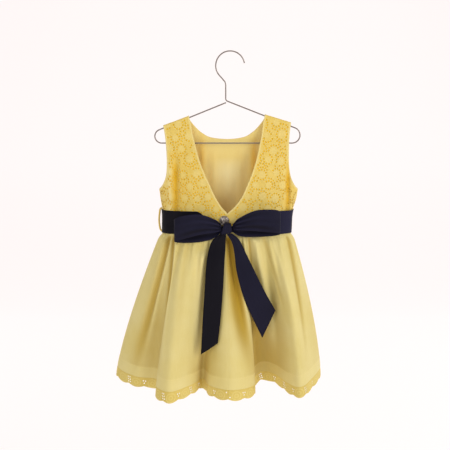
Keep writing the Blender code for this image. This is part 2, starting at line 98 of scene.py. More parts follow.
# Eyelets and rosettes of the lace
EYELET_RADIUS = 0.00192
EYELET_SIDES = 10
EYELET_SPACING = 0.0046
EYELET_BELOW_CREST = 0.0040
EYELET_FROM_SIDE = 0.0110
EYELET_COLLAR = 1.65
COLLAR_TURN = 0.3
NET_RISE = 0.866
NET_FROM_EDGE = 0.45
NET_FROM_COLLAR = 0.4
HOLE_CORE = 0.93
ROSETTE_ACROSS = 0.0272
ROSETTE_DOWN = 0.0238
ROSETTE_STRAY = 0.0021
ROSETTE_RADIUS = 0.0098
ROSETTE_GROWTH = 0.0014
ROSETTE_FADE = 0.0060
ARC_STEP = 0.0052
ARC_GAPS = (1, 4)
OUTER_ARC = 0.95
OUTER_EYELETS = (4, 8)
ROSETTE_PETALS = 9
PETAL_RADIUS = 0.0042
PETAL_WIDTH = 0.0020
PETAL_RAISE = 0.00035
MIDDLE_WIDTH = 0.0015
RIM_SHARE = 1.3
RIM_WIDTH = 0.0007
RIM_RAISE = 0.00022
RING_SHARE = 1.22
RING_RAISE = 0.0003
NEIGHBOUR = 0.0005
ROSETTE_MARGIN = 0.005
DISC_TONE = 0.20
PETAL_TONE = 0.16
GROUND_TONE = 0.10
RIM_TONE = 0.20
BAND_TONE = 0.60

# Skirt
SKIRT_LENGTH = 0.322
SKIRT_TUCK = 0.0050
TRIM_HEIGHT = 0.0215
TRIM_TUCK = 0.0030
SCALLOP_DEPTH = 0.0034
TRIM_EYELET_RADIUS = 0.00125
TRIM_EYELET_PAIR = 0.0023
TRIM_EYELET_RISE = 0.0118
TRIM_RINGS = (0.0034, 0.0080)
TRIM_RING_RISE = 0.0098
TRIM_RING_RAISE = 0.00060
TRIM_SATIN = 0.0016
TRIM_SATIN_RAISE = 0.00040
TRIM_RIM_SHARE = 1.35
TRIM_RIM_RAISE = 0.0002
TRIM_FROM_SEAM = 0.003
TRIM_BEHIND = 0.0011
TRIM_BEND = 0.0012
TRIM_CLUSTER_SHIFT = 0.0013
TRIM_GROUND_TONE = -0.20
TRIM_RING_TONE = 0.60
TRIM_SATIN_TONE = 0.45
TRIM_RIM_TONE = 0.25
SCALLOPS = 44
COLUMNS_PER_SCALLOP = 12
SKIRT_ROWS = 74
FINE_ROWS = 18
FINE_ROWS_TO = 0.024
GATHERS = 28
GATHER_DEPTH = 0.0028
GATHER_RISE = 0.012
GATHER_FADE = 0.115
PUFF = 0.0042
PUFF_RISE = 0.009
PUCKERS = 93
PUCKER_DEPTH = 0.0010
PUCKER_FADE = 0.024
SEAM_SHARES = (0.0, 0.25, 0.75, 1.0)
SEAM_CALM = 0.011
FLARE_POWER = 1.385
FLARE_POWER_SKEW = 0.115
FALL_STEPS = 80
CREASE_RISE = 0.007
# The troughs and creases below set where the skirt is painted in shade.
TROUGH_REACH = 0.070
TROUGH_SPAN = 0.050
TROUGH_TOP = 0.090
TROUGH_FADE = 0.100
VALLEY_SPREAD = 1.4
VALLEY_DEPTH = 0.0075
SHADE_RISE = 0.060
HEM_FOLD_TOP = SKIRT_LENGTH - 0.0425
HEM_FOLD_RAISE = 0.0004
HEM_FOLD_STEP = 0.0008
HEM_GROOVE = 0.0006
HEM_GROOVE_WIDTH = 0.0012
SEAM_WIDTH = 0.0012
# Painted shade: how far the troughs, creases and gathers are painted towards the rich gold; the hem's double
# layer is paler.
TROUGH_TONE = 0.75
VALLEY_TONE = 1.20
GATHER_TONE = 0.40
HEM_FOLD_TONE = 0.25
PALEST_TONE = 0.55
SEAM_SINK = 0.00010
SEAM_STITCH_SHIFT = 0.0062
SEAM_STITCH_TOP = 0.020

# Sash, bow and button
SASH_TOP = -0.3140
SASH_BOTTOM = -0.3608
SASH_STAND = 0.0022
SASH_TOP_AT_KNOT = -0.3432
SASH_BOTTOM_AT_KNOT = -0.3545
SASH_NARROWS_FROM = 0.062
SASH_NARROW_HALF = 0.019
# Painted light across the sash: where it turns from darker on the left to paler on the right.
SASH_SHINE_FROM = 0.010
SASH_SHINE_OVER = 0.110
KNOT_CENTRE = (-0.0063, -0.0469, -0.3460)
KNOT_SIZE = (0.0220, 0.0140, 0.0230)
KNOT_MIDDLE = 0.86
KNOT_TAPER = 0.20
KNOT_LEAN = 0.10
KNOT_TILT = 0.08
BUTTON_RADIUS = 0.0098
BUTTON_CENTRE = (-0.0116, -0.3322)
BUTTON_HEIGHT = 0.0044
BUTTON_STAND = 0.0012
BUTTON_STEPS = 5
BUTTON_TURNS = 56
TAIL_CLEARANCE = 0.0018
TAIL_WAVE = 0.0022
TAIL_PLEAT = 0.0016
TAIL_PLEAT_FADE = 0.10
TAIL_EVENED = 7
TAIL_NEIGHBOURS = 4
TAIL_BESIDE = 0.004
BACK_COLUMNS = 161
BACK_LEVELS = 49
CORD_POINTS = 33
CORD_SIDES = 12
CORD_GAP = 0.0002
CORD_TUCK = 0.0030
CORD_TUCKED = 0.05
SASH_ROWS = 34
SASH_COLUMNS = 301
SASH_PLEAT = 0.0011
SASH_PLEATS = 4.2
SASH_EASE = 0.0005
SASH_DRAWN_IN = 0.0030
SASH_EDGE = 0.0003
LOOP_CALM = 0.006
LOOP_CREASE_AT = 0.62
LOOP_CREASE_DRIFT = 0.25
LOOP_CREASE_WIDTH = 0.10
# Painted light on the bow's loops: paler on the pleats' ridges, darker in the crease.
LOOP_PLEAT_TONE = 0.60
LOOP_CREASE_TONE = 0.55
LOOP_TONE_LIMIT = 0.9
KNOT_TURNS = 48
KNOT_SLICES = 26
KNOT_SQUARE = 0.72
KNOT_RIDGE = 0.060
KNOT_RIBBON = (0.022, 0.058)

Bend = namedtuple("Bend", "name straight radius turn")
WIRE_BENDS = (
    Bend("hook", 0.0, HOOK_RADIUS, 212.0),
    Bend("under the hook", 0.0140, 0.0120, -42.0),
    Bend("neck", 0.0266, 0.0060, 68.7),
    Bend("right end", 0.1450, 0.0157, -158.7),
    Bend("left end", 0.2615, 0.0137, -158.1),
    Bend("left arm", 0.1445, 0.0, 0.0),
)

Level = namedtuple("Level", "name z centre half_width back_depth front_depth stand")
LEVELS = (
    Level("shoulder", -0.1250, -0.0065, 0.1396, 0.0000, 0.0000, 0.0028),
    Level("yoke", -0.1700, -0.0055, 0.1396, 0.0075, 0.0080, 0.0028),
    Level("blade", -0.2130, -0.0045, 0.1396, 0.0180, 0.0170, 0.0028),
    Level("low armhole", -0.2430, -0.0037, 0.1396, 0.0237, 0.0225, 0.0028),
    Level("underarm", -0.2728, -0.0030, 0.1396, 0.0285, 0.0270, 0.0008),
    Level("chest", -0.2950, -0.0035, 0.1365, 0.0305, 0.0290, 0.0003),
    Level("sash top", -0.3140, -0.0050, 0.1318, 0.0325, 0.0310, 0.0003),
    Level("waist", WAIST_Z, -0.0067, 0.1298, 0.0340, 0.0330, 0.0003),
)

Row = namedtuple("Row", "name inner inner_z outer outer_z")
BACK_ROWS = (
    Row("crest", 0.0757, -0.1257, 0.1275, -0.1450),
    Row("strap", 0.0715, -0.1440, 0.1245, -0.1630),
    Row("yoke", 0.0690, -0.1605, 0.1230, -0.1790),
    Row("blade", 0.0645, -0.1810, 0.1220, -0.1980),
    Row("armhole", 0.0570, -0.2110, 0.1218, -0.2200),
    Row("low armhole", 0.0475, -0.2380, 0.1240, -0.2430),
    Row("underarm curve", 0.0372, -0.2620, 0.1305, -0.2600),
    Row("underarm", 0.0268, -0.2850, 0.1396, -0.2728),
    Row("ribs", 0.0140, -0.3040, 0.1365, -0.2950),
    Row("foot of the V", SEAM / 2, -0.3182, 0.1318, -0.3140),
)
BACK_UNDERARM = 7
FRONT_ROWS = (
    Row("crest", 0.0757, -0.1257, 0.1275, -0.1450),
    Row("neck side", 0.0735, -0.1350, 0.1250, -0.1560),
    Row("neck curve", 0.0625, -0.1490, 0.1225, -0.1720),
    Row("scoop", 0.0505, -0.1600, 0.1200, -0.1880),
    Row("low scoop", 0.0330, -0.1690, 0.1185, -0.2060),
    Row("neck centre", 0.0, -0.1725, 0.1190, -0.2280),
    Row("chest", 0.0, -0.2150, 0.1240, -0.2520),
    Row("underarm", 0.0, -0.2600, 0.1396, -0.2728),
    Row("ribs", 0.0, -0.2900, 0.1365, -0.2950),
    Row("sash top", 0.0, -0.3140, 0.1318, -0.3140),
)
FRONT_NECK_FOOT = 5
FRONT_UNDERARM = 7

# Each crease's tone is painted light: a deeper colour painted down in the crease as its shade, and a paler
# one on a ridge as its highlight.
Crease = namedtuple("Crease", "name x depth width top bottom tone")
BACK_CREASES = (
    Crease("left side of the back", -0.1090, 0.0070, 0.0064, -0.1950, -0.3420, -1.0),
    Crease("ridge beside it", -0.1215, -0.0010, 0.0045, -0.2050, -0.3300, 0.7),
    Crease("right side of the back", 0.1160, 0.0066, 0.0050, -0.2100, -0.3420, -1.0),
    Crease("left beside the strap", -0.0930, 0.0016, 0.0100, -0.1650, -0.2500, -0.1),
    Crease("left of the V", -0.0600, 0.0014, 0.0120, -0.2500, -0.3400, 0.0),
    Crease("right of the V", 0.0560, 0.0012, 0.0110, -0.2400, -0.3400, 0.0),
    Crease("right beside the strap", 0.0880, 0.0012, 0.0100, -0.1700, -0.2600, 0.0),
)
FRONT_CREASES = (
    Crease("left of the chest", -0.0980, 0.0042, 0.0080, -0.2200, -0.3400, -0.5),
    Crease("right of the chest", 0.1010, 0.0046, 0.0070, -0.2300, -0.3400, -0.5),
    Crease("under the neck", -0.0240, 0.0016, 0.0120, -0.1800, -0.2900, 0.0),
    Crease("right of the neck", 0.0400, 0.0018, 0.0100, -0.2000, -0.3200, 0.0),
)
# Painted shade darkens the lining near the V's edges, and the paler foot is painted light where the bottom
# of the V lies in shade.
LINING_CREASES = (
    Crease("near the left edge", -0.0560, 0.0034, 0.0060, -0.1500, -0.2900, -0.5),
    Crease("left of the centre", -0.0330, 0.0020, 0.0070, -0.1800, -0.3300, -0.1),
    Crease("centre", -0.0040, 0.0022, 0.0100, -0.1900, -0.3400, 0.0),
    Crease("right of the centre", 0.0200, 0.0026, 0.0070, -0.1800, -0.3300, -0.1),
    Crease("near the right edge", 0.0470, 0.0034, 0.0070, -0.1600, -0.2900, -0.7),
    Crease("paler foot", -0.0040, 0.0, 0.0320, -0.2100, -0.2900, 1.0),
)

Fold = namedtuple("Fold", "name x y lift")
HEM_FOLDS = (
    Fold("centre back ridge", -0.0040, -0.1080, -0.0070),
    Fold("second ridge, right", 0.0300, -0.0980, -0.0060),
    Fold("second edge", 0.0505, -0.0700, -0.0020),
    Fold("second edge, under", 0.0475, -0.0420, 0.0030),
    Fold("deep trough", 0.0660, -0.0100, 0.0080),
    Fold("third rise", 0.0960, -0.0280, 0.0060),
    Fold("third ridge", 0.1370, -0.0960, -0.0085),
    Fold("third fall", 0.1640, -0.0640, 0.0020),
    Fold("right side", 0.1880, 0.0040, 0.0130),
    Fold("front ridge one", 0.1600, 0.0900, 0.0060),
    Fold("front trough one", 0.1140, 0.0480, 0.0060),
    Fold("front ridge two", 0.0720, 0.1080, 0.0),
    Fold("front trough two", 0.0280, 0.0540, 0.0040),
    Fold("front ridge three", -0.0200, 0.1120, 0.0),
    Fold("front trough three", -0.0700, 0.0540, 0.0040),
    Fold("front ridge four", -0.1180, 0.1060, 0.0),
    Fold("front trough four", -0.1620, 0.0520, 0.0040),
    Fold("front ridge five", -0.2060, 0.0700, 0.0040),
    Fold("left side", -0.2370, 0.0040, 0.0),
    Fold("left wing", -0.1960, -0.0400, 0.0),
    Fold("left valley", -0.1570, -0.0380, 0.0),
    Fold("first edge, under", -0.1440, -0.0620, 0.0),
    Fold("first edge", -0.1480, -0.0880, -0.0090),
    Fold("first ridge", -0.1200, -0.1160, -0.0150),
    Fold("first fall", -0.0800, -0.0850, 0.0),
    Fold("middle trough", -0.0560, -0.0420, 0.0040),
    Fold("second ridge, left", -0.0400, -0.0800, -0.0020),
)

SoftCrease = namedtuple("SoftCrease", "name head foot top bottom width depth")
SKIRT_CREASES = (
    SoftCrease("left valley", 0.799, 0.777, 0.000, 0.33, 0.0052, 0.0060),
    SoftCrease("rib in the left valley", 0.809, 0.791, 0.004, 0.28, 0.0040, -0.0032),
    SoftCrease("valley beside the first edge", 0.816, 0.845, 0.000, 0.31, 0.0056, 0.0060),
    SoftCrease("first edge", 0.827, 0.862, 0.004, 0.31, 0.0042, -0.0034),
    SoftCrease("first lobe, left", 0.868, 0.880, 0.010, 0.26, 0.0060, 0.0012),
    SoftCrease("first lobe, right", 0.920, 0.931, 0.030, 0.32, 0.0150, -0.0125),
    SoftCrease("left of the back seam", 0.978, 0.974, 0.020, 0.30, 0.0040, 0.0012),
    SoftCrease("between the tails", 0.006, 0.036, 0.000, 0.28, 0.0085, 0.0120),
    SoftCrease("rib beside it", 0.030, 0.056, 0.060, 0.30, 0.0050, -0.0020),
    SoftCrease("first ridge", 0.056, 0.060, 0.000, 0.11, 0.0042, -0.0034),
    SoftCrease("amber valley", 0.078, 0.078, 0.000, 0.13, 0.0042, 0.0042),
    SoftCrease("second ridge", 0.093, 0.119, 0.000, 0.27, 0.0110, -0.0110),
    SoftCrease("third valley", 0.127, 0.166, 0.000, 0.20, 0.0052, 0.0020),
    SoftCrease("third ridge", 0.158, 0.188, 0.004, 0.26, 0.0060, -0.0030),
    SoftCrease("right valley", 0.213, 0.189, 0.000, 0.27, 0.0040, 0.0042),
    SoftCrease("front, right", 0.300, 0.308, 0.004, 0.27, 0.0060, 0.0036),
    SoftCrease("front, second", 0.372, 0.380, 0.000, 0.22, 0.0050, -0.0026),
    SoftCrease("front, third", 0.431, 0.426, 0.004, 0.29, 0.0055, 0.0034),
    SoftCrease("front, middle", 0.508, 0.503, 0.000, 0.25, 0.0055, 0.0036),
    SoftCrease("front, fifth", 0.577, 0.584, 0.004, 0.28, 0.0050, 0.0030),
    SoftCrease("front, sixth", 0.646, 0.640, 0.000, 0.24, 0.0055, -0.0028),
    SoftCrease("front, left", 0.709, 0.714, 0.004, 0.26, 0.0055, 0.0034),
)

# Painted shade on the skirt where no crease lies under it, such as the shadow that the bow's tails cast
# between them.
Shade = namedtuple("Shade", SoftCrease._fields[:-1] + ("tone",))
SKIRT_PAINTED_SHADES = (
    Shade("wing beside the left valley", 0.784, 0.774, -0.040, 0.22, 0.0110, -0.12),
    Shade("foot of the left valley", 0.786, 0.772, 0.140, 0.38, 0.0120, -0.30),
    Shade("between the tails", 0.004, 0.030, -0.060, 0.26, 0.0130, -0.80),
    Shade("beside the deep valley", 0.080, 0.090, 0.100, 0.36, 0.0140, -0.30),
)

Station = namedtuple("Station", "name x y top bottom")
LEFT_LOOP = (
    Station("near, at the knot", -0.0177, -0.0500, -0.3385, -0.3500),
    Station("near, gathered", -0.0290, -0.0565, -0.3270, -0.3520),
    Station("near, middle", -0.0600, -0.0625, -0.3160, -0.3565),
    Station("near, outer", -0.0960, -0.0610, -0.3195, -0.3660),
    Station("fold", -0.1105, -0.0535, -0.3275, -0.3715),
    Station("far, outer", -0.0960, -0.0460, -0.3235, -0.3755),
    Station("far, middle", -0.0620, -0.0425, -0.3230, -0.3745),
    Station("far, gathered", -0.0350, -0.0420, -0.3300, -0.3680),
    Station("far, at the knot", -0.0177, -0.0430, -0.3400, -0.3550),
)
RIGHT_LOOP = (
    Station("near, at the knot", 0.0051, -0.0500, -0.3370, -0.3470),
    Station("near, gathered", 0.0180, -0.0565, -0.3235, -0.3475),
    Station("near, middle", 0.0500, -0.0625, -0.3080, -0.3490),
    Station("near, outer", 0.0850, -0.0610, -0.3065, -0.3525),
    Station("fold", 0.0990, -0.0535, -0.3115, -0.3565),
    Station("far, outer", 0.0850, -0.0460, -0.3110, -0.3615),
    Station("far, middle", 0.0500, -0.0425, -0.3160, -0.3640),
    Station("far, gathered", 0.0220, -0.0420, -0.3270, -0.3630),
    Station("far, at the knot", 0.0051, -0.0430, -0.3400, -0.3540),
)
LOOP_FOLD_Y = -0.0535
LOOP_BELLY = 0.0025
LOOP_STEPS = 10
LOOP_COLUMNS = 26
LOOP_PLEAT = 0.0022
LOOP_PLEAT_FADE = 0.036
LOOP_CREASE = 0.0022
LOOP_REACH = 0.09

Cut = namedtuple("Cut", "name left left_z right right_z")
LEFT_TAIL = (
    Cut("knot", -0.0185, -0.3560, -0.0082, -0.3560),
    Cut("spread", -0.0350, -0.3700, -0.0088, -0.3700),
    Cut("full", -0.0425, -0.3880, -0.0092, -0.3860),
    Cut("upper", -0.0472, -0.4150, -0.0112, -0.4110),
    Cut("middle", -0.0510, -0.4700, -0.0140, -0.4610),
    Cut("lower", -0.0550, -0.5350, -0.0190, -0.5220),
    Cut("slant end", -0.0580, -0.5920, -0.0244, -0.5690),
)
RIGHT_TAIL = (
    Cut("knot", -0.0072, -0.3560, 0.0040, -0.3560),
    Cut("spread", 0.0035, -0.3740, 0.0190, -0.3700),
    Cut("full", 0.0085, -0.3960, 0.0320, -0.3960),
    Cut("upper", 0.0120, -0.4260, 0.0449, -0.4215),
    Cut("middle", 0.0200, -0.4600, 0.0590, -0.4500),
    Cut("lower", 0.0345, -0.5020, 0.0742, -0.4800),
    Cut("slant end", 0.0648, -0.5680, 0.0910, -0.5105),
)
TAIL_STEPS = 10
TAIL_COLUMNS = 14

# The dome, its groove, the rim and the edge: share of the radius, share of the height
BUTTON_PROFILE = (
    (0.0, 1.0), (0.42, 0.95), (0.70, 0.76), (0.80, 0.66),
    (0.86, 0.70), (0.95, 0.58), (1.0, 0.28), (0.93, 0.0),
)

BeltLoop = namedtuple("BeltLoop", "name side bulge radius ahead")
BELT_LOOPS = (
    BeltLoop("belt_loop_left", -1, 0.0038, 0.0019, 0.0),
    BeltLoop("belt_loop_right", 1, 0.0, 0.0012, 0.0060),
)
BELT_LOOP_TOP = -0.3105
BELT_LOOP_BOTTOM = -0.3596

# Threads
THREAD_SCALES = (0.90, 1.08)
STITCH_SEED = 3
RING_SEED = 5
STITCH_LENGTH = 0.0022
STITCH_GAP = 0.0010
STITCH_THREAD = 0.00045
STITCH_RAISE = 0.0004
HEM_STITCH_RAISE = 0.0005
EDGE_STITCHES = EDGE_BAND * 0.93
STITCHES_FROM_CENTRE = 0.0022
STITCHES_FROM_SEAM = 0.002
HEM_ROUTE_STEP = 0.001
RING_THREAD = 0.00042

# Patterns of the finishes
SLUB_SCALE = (900.0, 45.0, 1.0)
SCRATCH_SCALE = (2500.0, 60.0, 1.0)
SHELL_COLOURS = ((72, 62, 54), (138, 126, 116), (206, 203, 200))

# View
TARGET = (-0.0102, 0.0, -0.3466)
VIEW_DISTANCE = 1.70
VIEW_ELEVATION = 9.0
SENSOR = 36.0
LENS = 66.7


# Curves and tables

def smooth_rows(rows, steps):
    """Points between the rows of a table, on a curve through them."""
    table = np.array([row[1:] if isinstance(row[0], str) else row for row in rows])
    padded = np.vstack((2 * table[0] - table[1], table, 2 * table[-1] - table[-2]))
    places = np.linspace(0, len(table) - 1, steps * (len(table) - 1) + 1)
    return np.array([curve_through(padded, place) for place in places])


def curve_through(padded, place):
    """The point of a smooth curve at a place counted in rows."""
    i = min(int(place), len(padded) - 4)
    t = place - i
    a, b, c, d = padded[i:i + 4]
    return 0.5 * (2 * b + (c - a) * t + (2 * a - 5 * b + 4 * c - d) * t**2
                  + (3 * b - a - 3 * c + d) * t**3)


def spaced(points, step):
    """The same open line with points an even step apart."""
    lengths = np.linalg.norm(np.diff(points, axis=0), axis=1)
    along = np.concatenate(((0,), np.cumsum(lengths)))
    count = max(2, int(round(along[-1] / step)) + 1)
    places = np.linspace(0, along[-1], count)
    return np.stack([np.interp(places, along, column) for column in points.T], axis=1)


def softened(places, values, finer):
    """A table's values on a curve through them, without a corner at each row."""
    slopes = np.gradient(values, places)
    i = np.clip(np.searchsorted(places, finer, side="right") - 1, 0, len(places) - 2)
    width = places[i + 1] - places[i]
    t = np.clip((finer - places[i]) / width, 0, 1)
    start = (1 + 2 * t) * (1 - t)**2 * values[i] + t * (1 - t)**2 * width * slopes[i]
    end = t**2 * (3 - 2 * t) * values[i + 1] + t**2 * (t - 1) * width * slopes[i + 1]
    return start + end


LEVEL_DEPTHS = np.array([-level.z for level in LEVELS])
FINE_DEPTHS = np.linspace(LEVEL_DEPTHS[0], LEVEL_DEPTHS[-1], LEVEL_STEPS)
FINE_LEVELS = {
    column: softened(LEVEL_DEPTHS, np.array([getattr(level, column) for level in LEVELS]), FINE_DEPTHS)
    for column in ("centre", "half_width", "back_depth", "front_depth", "stand")
}


def level_value(z, column):
    """A measure of the bodice at one height, from the table of levels."""
    return np.interp(-z, FINE_DEPTHS, FINE_LEVELS[column])


def profile(across):
    """The rounded oblong of the bodice: 1 at the middle, 0 at the side."""
    return (1 - np.clip(np.abs(across), 0, 1)**SHARPNESS)**(1 / SHARPNESS)


def bump(distance, width):
    """A soft rise, 1 at no distance."""
    return np.exp(-(distance / width)**2)


def nearest(points, others):
    """How far each point lies from the nearest of some others."""
    best = np.full(len(points), np.inf)
    for start in range(0, len(others), 200):
        block = others[start:start + 200]
        gaps = points[:, None, :] - block[None, :, :]
        best = np.minimum(best, np.sqrt((gaps**2).sum(axis=2)).min(axis=1))
    return best


def inside(points, outline):
    """Which flat points lie within a closed outline."""
    x, y = points.T
    within = np.zeros(len(points), dtype=bool)
    for (ax, ay), (bx, by) in zip(outline, np.roll(outline, -1, axis=0)):
        if ay == by:
            continue
        within ^= ((ay > y) != (by > y)) & (x < (bx - ax) * (y - ay) / (by - ay) + ax)
    return within


# Meshes

def place_piece(name, points, faces, material, flat=None, tone=None, smooth=True):
    """A named mesh with the flat lay of its cloth as its UV map."""
    mesh = bpy.data.meshes.new(name)
    mesh.from_pydata(np.asarray(points).tolist(), [], [list(map(int, face)) for face in faces])
    if smooth:
        mesh.shade_smooth()
    corners = np.zeros(len(mesh.loops), dtype=np.int32)
    mesh.loops.foreach_get("vertex_index", corners)
    if flat is not None:
        layer = mesh.uv_layers.new(name="cloth")
        layer.data.foreach_set("uv", np.asarray(flat, dtype=np.float32)[corners].ravel())
    values = np.zeros(len(points)) if tone is None else tone
    attribute = mesh.attributes.new("tone", "FLOAT", "POINT")
    attribute.data.foreach_set("value", np.asarray(values, dtype=np.float32))
    mesh.materials.append(material)
    piece = bpy.data.objects.new(name, mesh)
    bpy.context.scene.collection.objects.link(piece)
    return piece


def give_wall(piece, thickness):
    """Cloth thickness, half to each side of its surface."""
    wall = piece.modifiers.new("Wall", "SOLIDIFY")
    wall.thickness = thickness
    wall.offset = 0.0
    return piece


def weld(piece):
    """Points that lie together, made one."""
    joined = piece.modifiers.new("Weld", "WELD")
    joined.merge_threshold = WELD_REACH
    return piece


def grid_faces(rows, columns):
    """The four-sided faces of a grid of points."""
    first = (np.arange(rows - 1)[:, None] * columns + np.arange(columns - 1)[None, :]).ravel()
    return np.stack((first, first + columns, first + columns + 1, first + 1), axis=1)


def grid_lay(grid):
    """The flat lay of a grid: its mean length along each row and down the columns."""
    across = np.linalg.norm(np.diff(grid, axis=1), axis=2).mean(axis=0)
    down = np.linalg.norm(np.diff(grid, axis=0), axis=2).mean(axis=1)
    u = np.concatenate(((0,), np.cumsum(across)))
    v = np.concatenate(((0,), np.cumsum(down)))
    return np.stack(np.meshgrid(u, v), axis=2), u[-1], v[-1]


def grid_piece(name, grid, thickness, material, tone=0.0):
    """A sheet of cloth through a grid of points, with its flat width and length."""
    rows, columns = grid.shape[:2]
    lay, width, length = grid_lay(grid)
    piece = place_piece(name, grid.reshape(-1, 3), grid_faces(rows, columns), material,
                        lay.reshape(-1, 2), np.full(rows * columns, tone))
    give_wall(piece, thickness)
    return piece, width, length


def tube_points(route, radius, sides):
    """Rings of points round a route, without a twist between them."""
    route = np.asarray(route, dtype=float)
    heading = np.gradient(route, axis=0)
    heading /= np.linalg.norm(heading, axis=1)[:, None]
    lean = np.array((0.0, 1.0, 0.0))
    rings = []
    for point, ahead in zip(route, heading):
        lean = lean - ahead * lean.dot(ahead)
        lean /= np.linalg.norm(lean)
        other = np.cross(ahead, lean)
        angles = np.linspace(0, 2 * pi, sides + 1)
        rings.append(point + radius * (np.cos(angles)[:, None] * lean + np.sin(angles)[:, None] * other))
    return np.array(rings)


def tube_piece(name, route, radius, sides, material):
    """A round wire or cord with closed ends and its length as the UV map's V."""
    rings = tube_points(route, radius, sides)
    steps = np.linalg.norm(np.diff(np.asarray(route), axis=0), axis=1)
    along = np.concatenate(((0,), np.cumsum(steps)))
    turn = np.linspace(0, 2 * pi * radius, sides + 1)
    lay = np.stack(np.meshgrid(turn, along), axis=2).reshape(-1, 2)
    faces = [tuple(face) for face in grid_faces(len(route), sides + 1)]
    points = rings.reshape(-1, 3)
    last = len(points) - sides - 1
    faces.append(tuple(range(sides)))
    faces.append(tuple(last + i for i in reversed(range(sides))))
    return weld(place_piece(name, points, faces, material, lay))


# Flat cloth with eyelets

def hexagon_points(low, high, step):
    """Points of a triangular net that fills a box."""
    rise = step * NET_RISE
    points = []
    for j, y in enumerate(np.arange(low[1], high[1], rise)):
        shift = step / 2 if j % 2 else 0.0
        for x in np.arange(low[0] + shift, high[0], step):
            points.append((x, y))
    return np.array(points)


def thin_out(places, spacing):
    """Places in order, leaving out each that comes too near an earlier one."""
    kept = []
    for place in places:
        if all((place[0] - x)**2 + (place[1] - y)**2 > spacing**2 for x, y in kept):
            kept.append(tuple(place))
    return np.array(kept)


def cut_cloth(outline, holes, hole_radius, step):
    """Triangles of flat cloth within an outline, cut out round each hole."""
    angles = np.linspace(0, 2 * pi, EYELET_SIDES, endpoint=False)
    circle = np.stack((np.cos(angles), np.sin(angles)), axis=1)
    turned = np.stack((np.cos(angles + COLLAR_TURN), np.sin(angles + COLLAR_TURN)), axis=1)
    collar = hole_radius * EYELET_COLLAR
    net = hexagon_points(outline.min(axis=0), outline.max(axis=0), step)
    net = net[inside(net, outline)]
    net = net[nearest(net, outline) > step * NET_FROM_EDGE]
    points = [outline]
    edges = [(i, (i + 1) % len(outline)) for i in range(len(outline))]
    count = len(outline)
    if len(holes):
        net = net[nearest(net, holes) > collar + step * NET_FROM_COLLAR]
        for hole in holes:
            points.append(hole + circle * hole_radius)
            edges += [(count + i, count + (i + 1) % EYELET_SIDES) for i in range(EYELET_SIDES)]
            count += EYELET_SIDES
            points.append(hole + turned * collar)
            count += EYELET_SIDES
    points.append(net)
    flat = [Vector(point) for point in np.vstack(points)]
    laid, _, faces, *_ = delaunay_2d_cdt(flat, edges, [], 1, 1e-7)
    laid = np.array([tuple(point) for point in laid])
    faces = np.array(faces)
    middles = laid[faces].mean(axis=1)
    keep = inside(middles, outline)
    if len(holes):
        keep &= nearest(middles, holes) > hole_radius * HOLE_CORE
    faces = faces[keep]
    used = np.unique(faces)
    number = np.full(len(laid), -1)
    number[used] = np.arange(len(used))
    return laid[used], number[faces]


def flat_area(points, faces):
    """The area of flat triangles."""
    a, b, c = points[faces[:, 0]], points[faces[:, 1]], points[faces[:, 2]]
    ab = b - a
    ac = c - a
    return float(np.abs(ab[:, 0] * ac[:, 1] - ab[:, 1] * ac[:, 0]).sum() / 2)


def rosette_places(low, high, rng):
    """Centres and radii of the lace's rosettes, in staggered rows that wander a little."""
    places = []
    for j, y in enumerate(np.arange(low[1] - ROSETTE_MARGIN, high[1] + ROSETTE_DOWN, ROSETTE_DOWN)):
        shift = ROSETTE_ACROSS / 2 if j % 2 else 0.0
        for x in np.arange(low[0] - ROSETTE_ACROSS + shift, high[0] + ROSETTE_ACROSS, ROSETTE_ACROSS):
            stray = rng.normal(0, ROSETTE_STRAY, 2)
            places.append((x + stray[0], y + stray[1], ROSETTE_RADIUS + rng.uniform(-1, 1) * ROSETTE_GROWTH))
    return np.array(places)


def eyelet_places(rosettes, outline, edge, rng):
    """Arcs of eyelets round the rosettes, clear of the finished edges and the shoulder."""
    inner, outer = [], []
    for x, y, radius in rosettes:
        start = rng.uniform(0, 2 * pi)
        count = int(2 * pi * radius / ARC_STEP)
        for k in range(count - rng.integers(*ARC_GAPS)):
            angle = start + 2 * pi * k / count
            inner.append((x + radius * cos(angle), y + radius * sin(angle)))
        start = rng.uniform(0, 2 * pi)
        further = radius + ARC_STEP * OUTER_ARC
        for k in range(rng.integers(*OUTER_EYELETS)):
            angle = start + k * ARC_STEP / further
            outer.append((x + further * cos(angle), y + further * sin(angle)))
    places = thin_out(inner + outer, EYELET_SPACING)
    places = places[inside(places, outline)]
    places = places[nearest(places, outline) > EYELET_RADIUS * 2.0]
    places = places[places[:, 1] < crest_height(np.abs(places[:, 0])) - EYELET_BELOW_CREST]
    places = places[np.abs(places[:, 0]) < np.abs(outline[:, 0]).max() - EYELET_FROM_SIDE]
    return places[nearest(places, edge) > EDGE_BAND + EYELET_RADIUS + EDGE_RAISE]


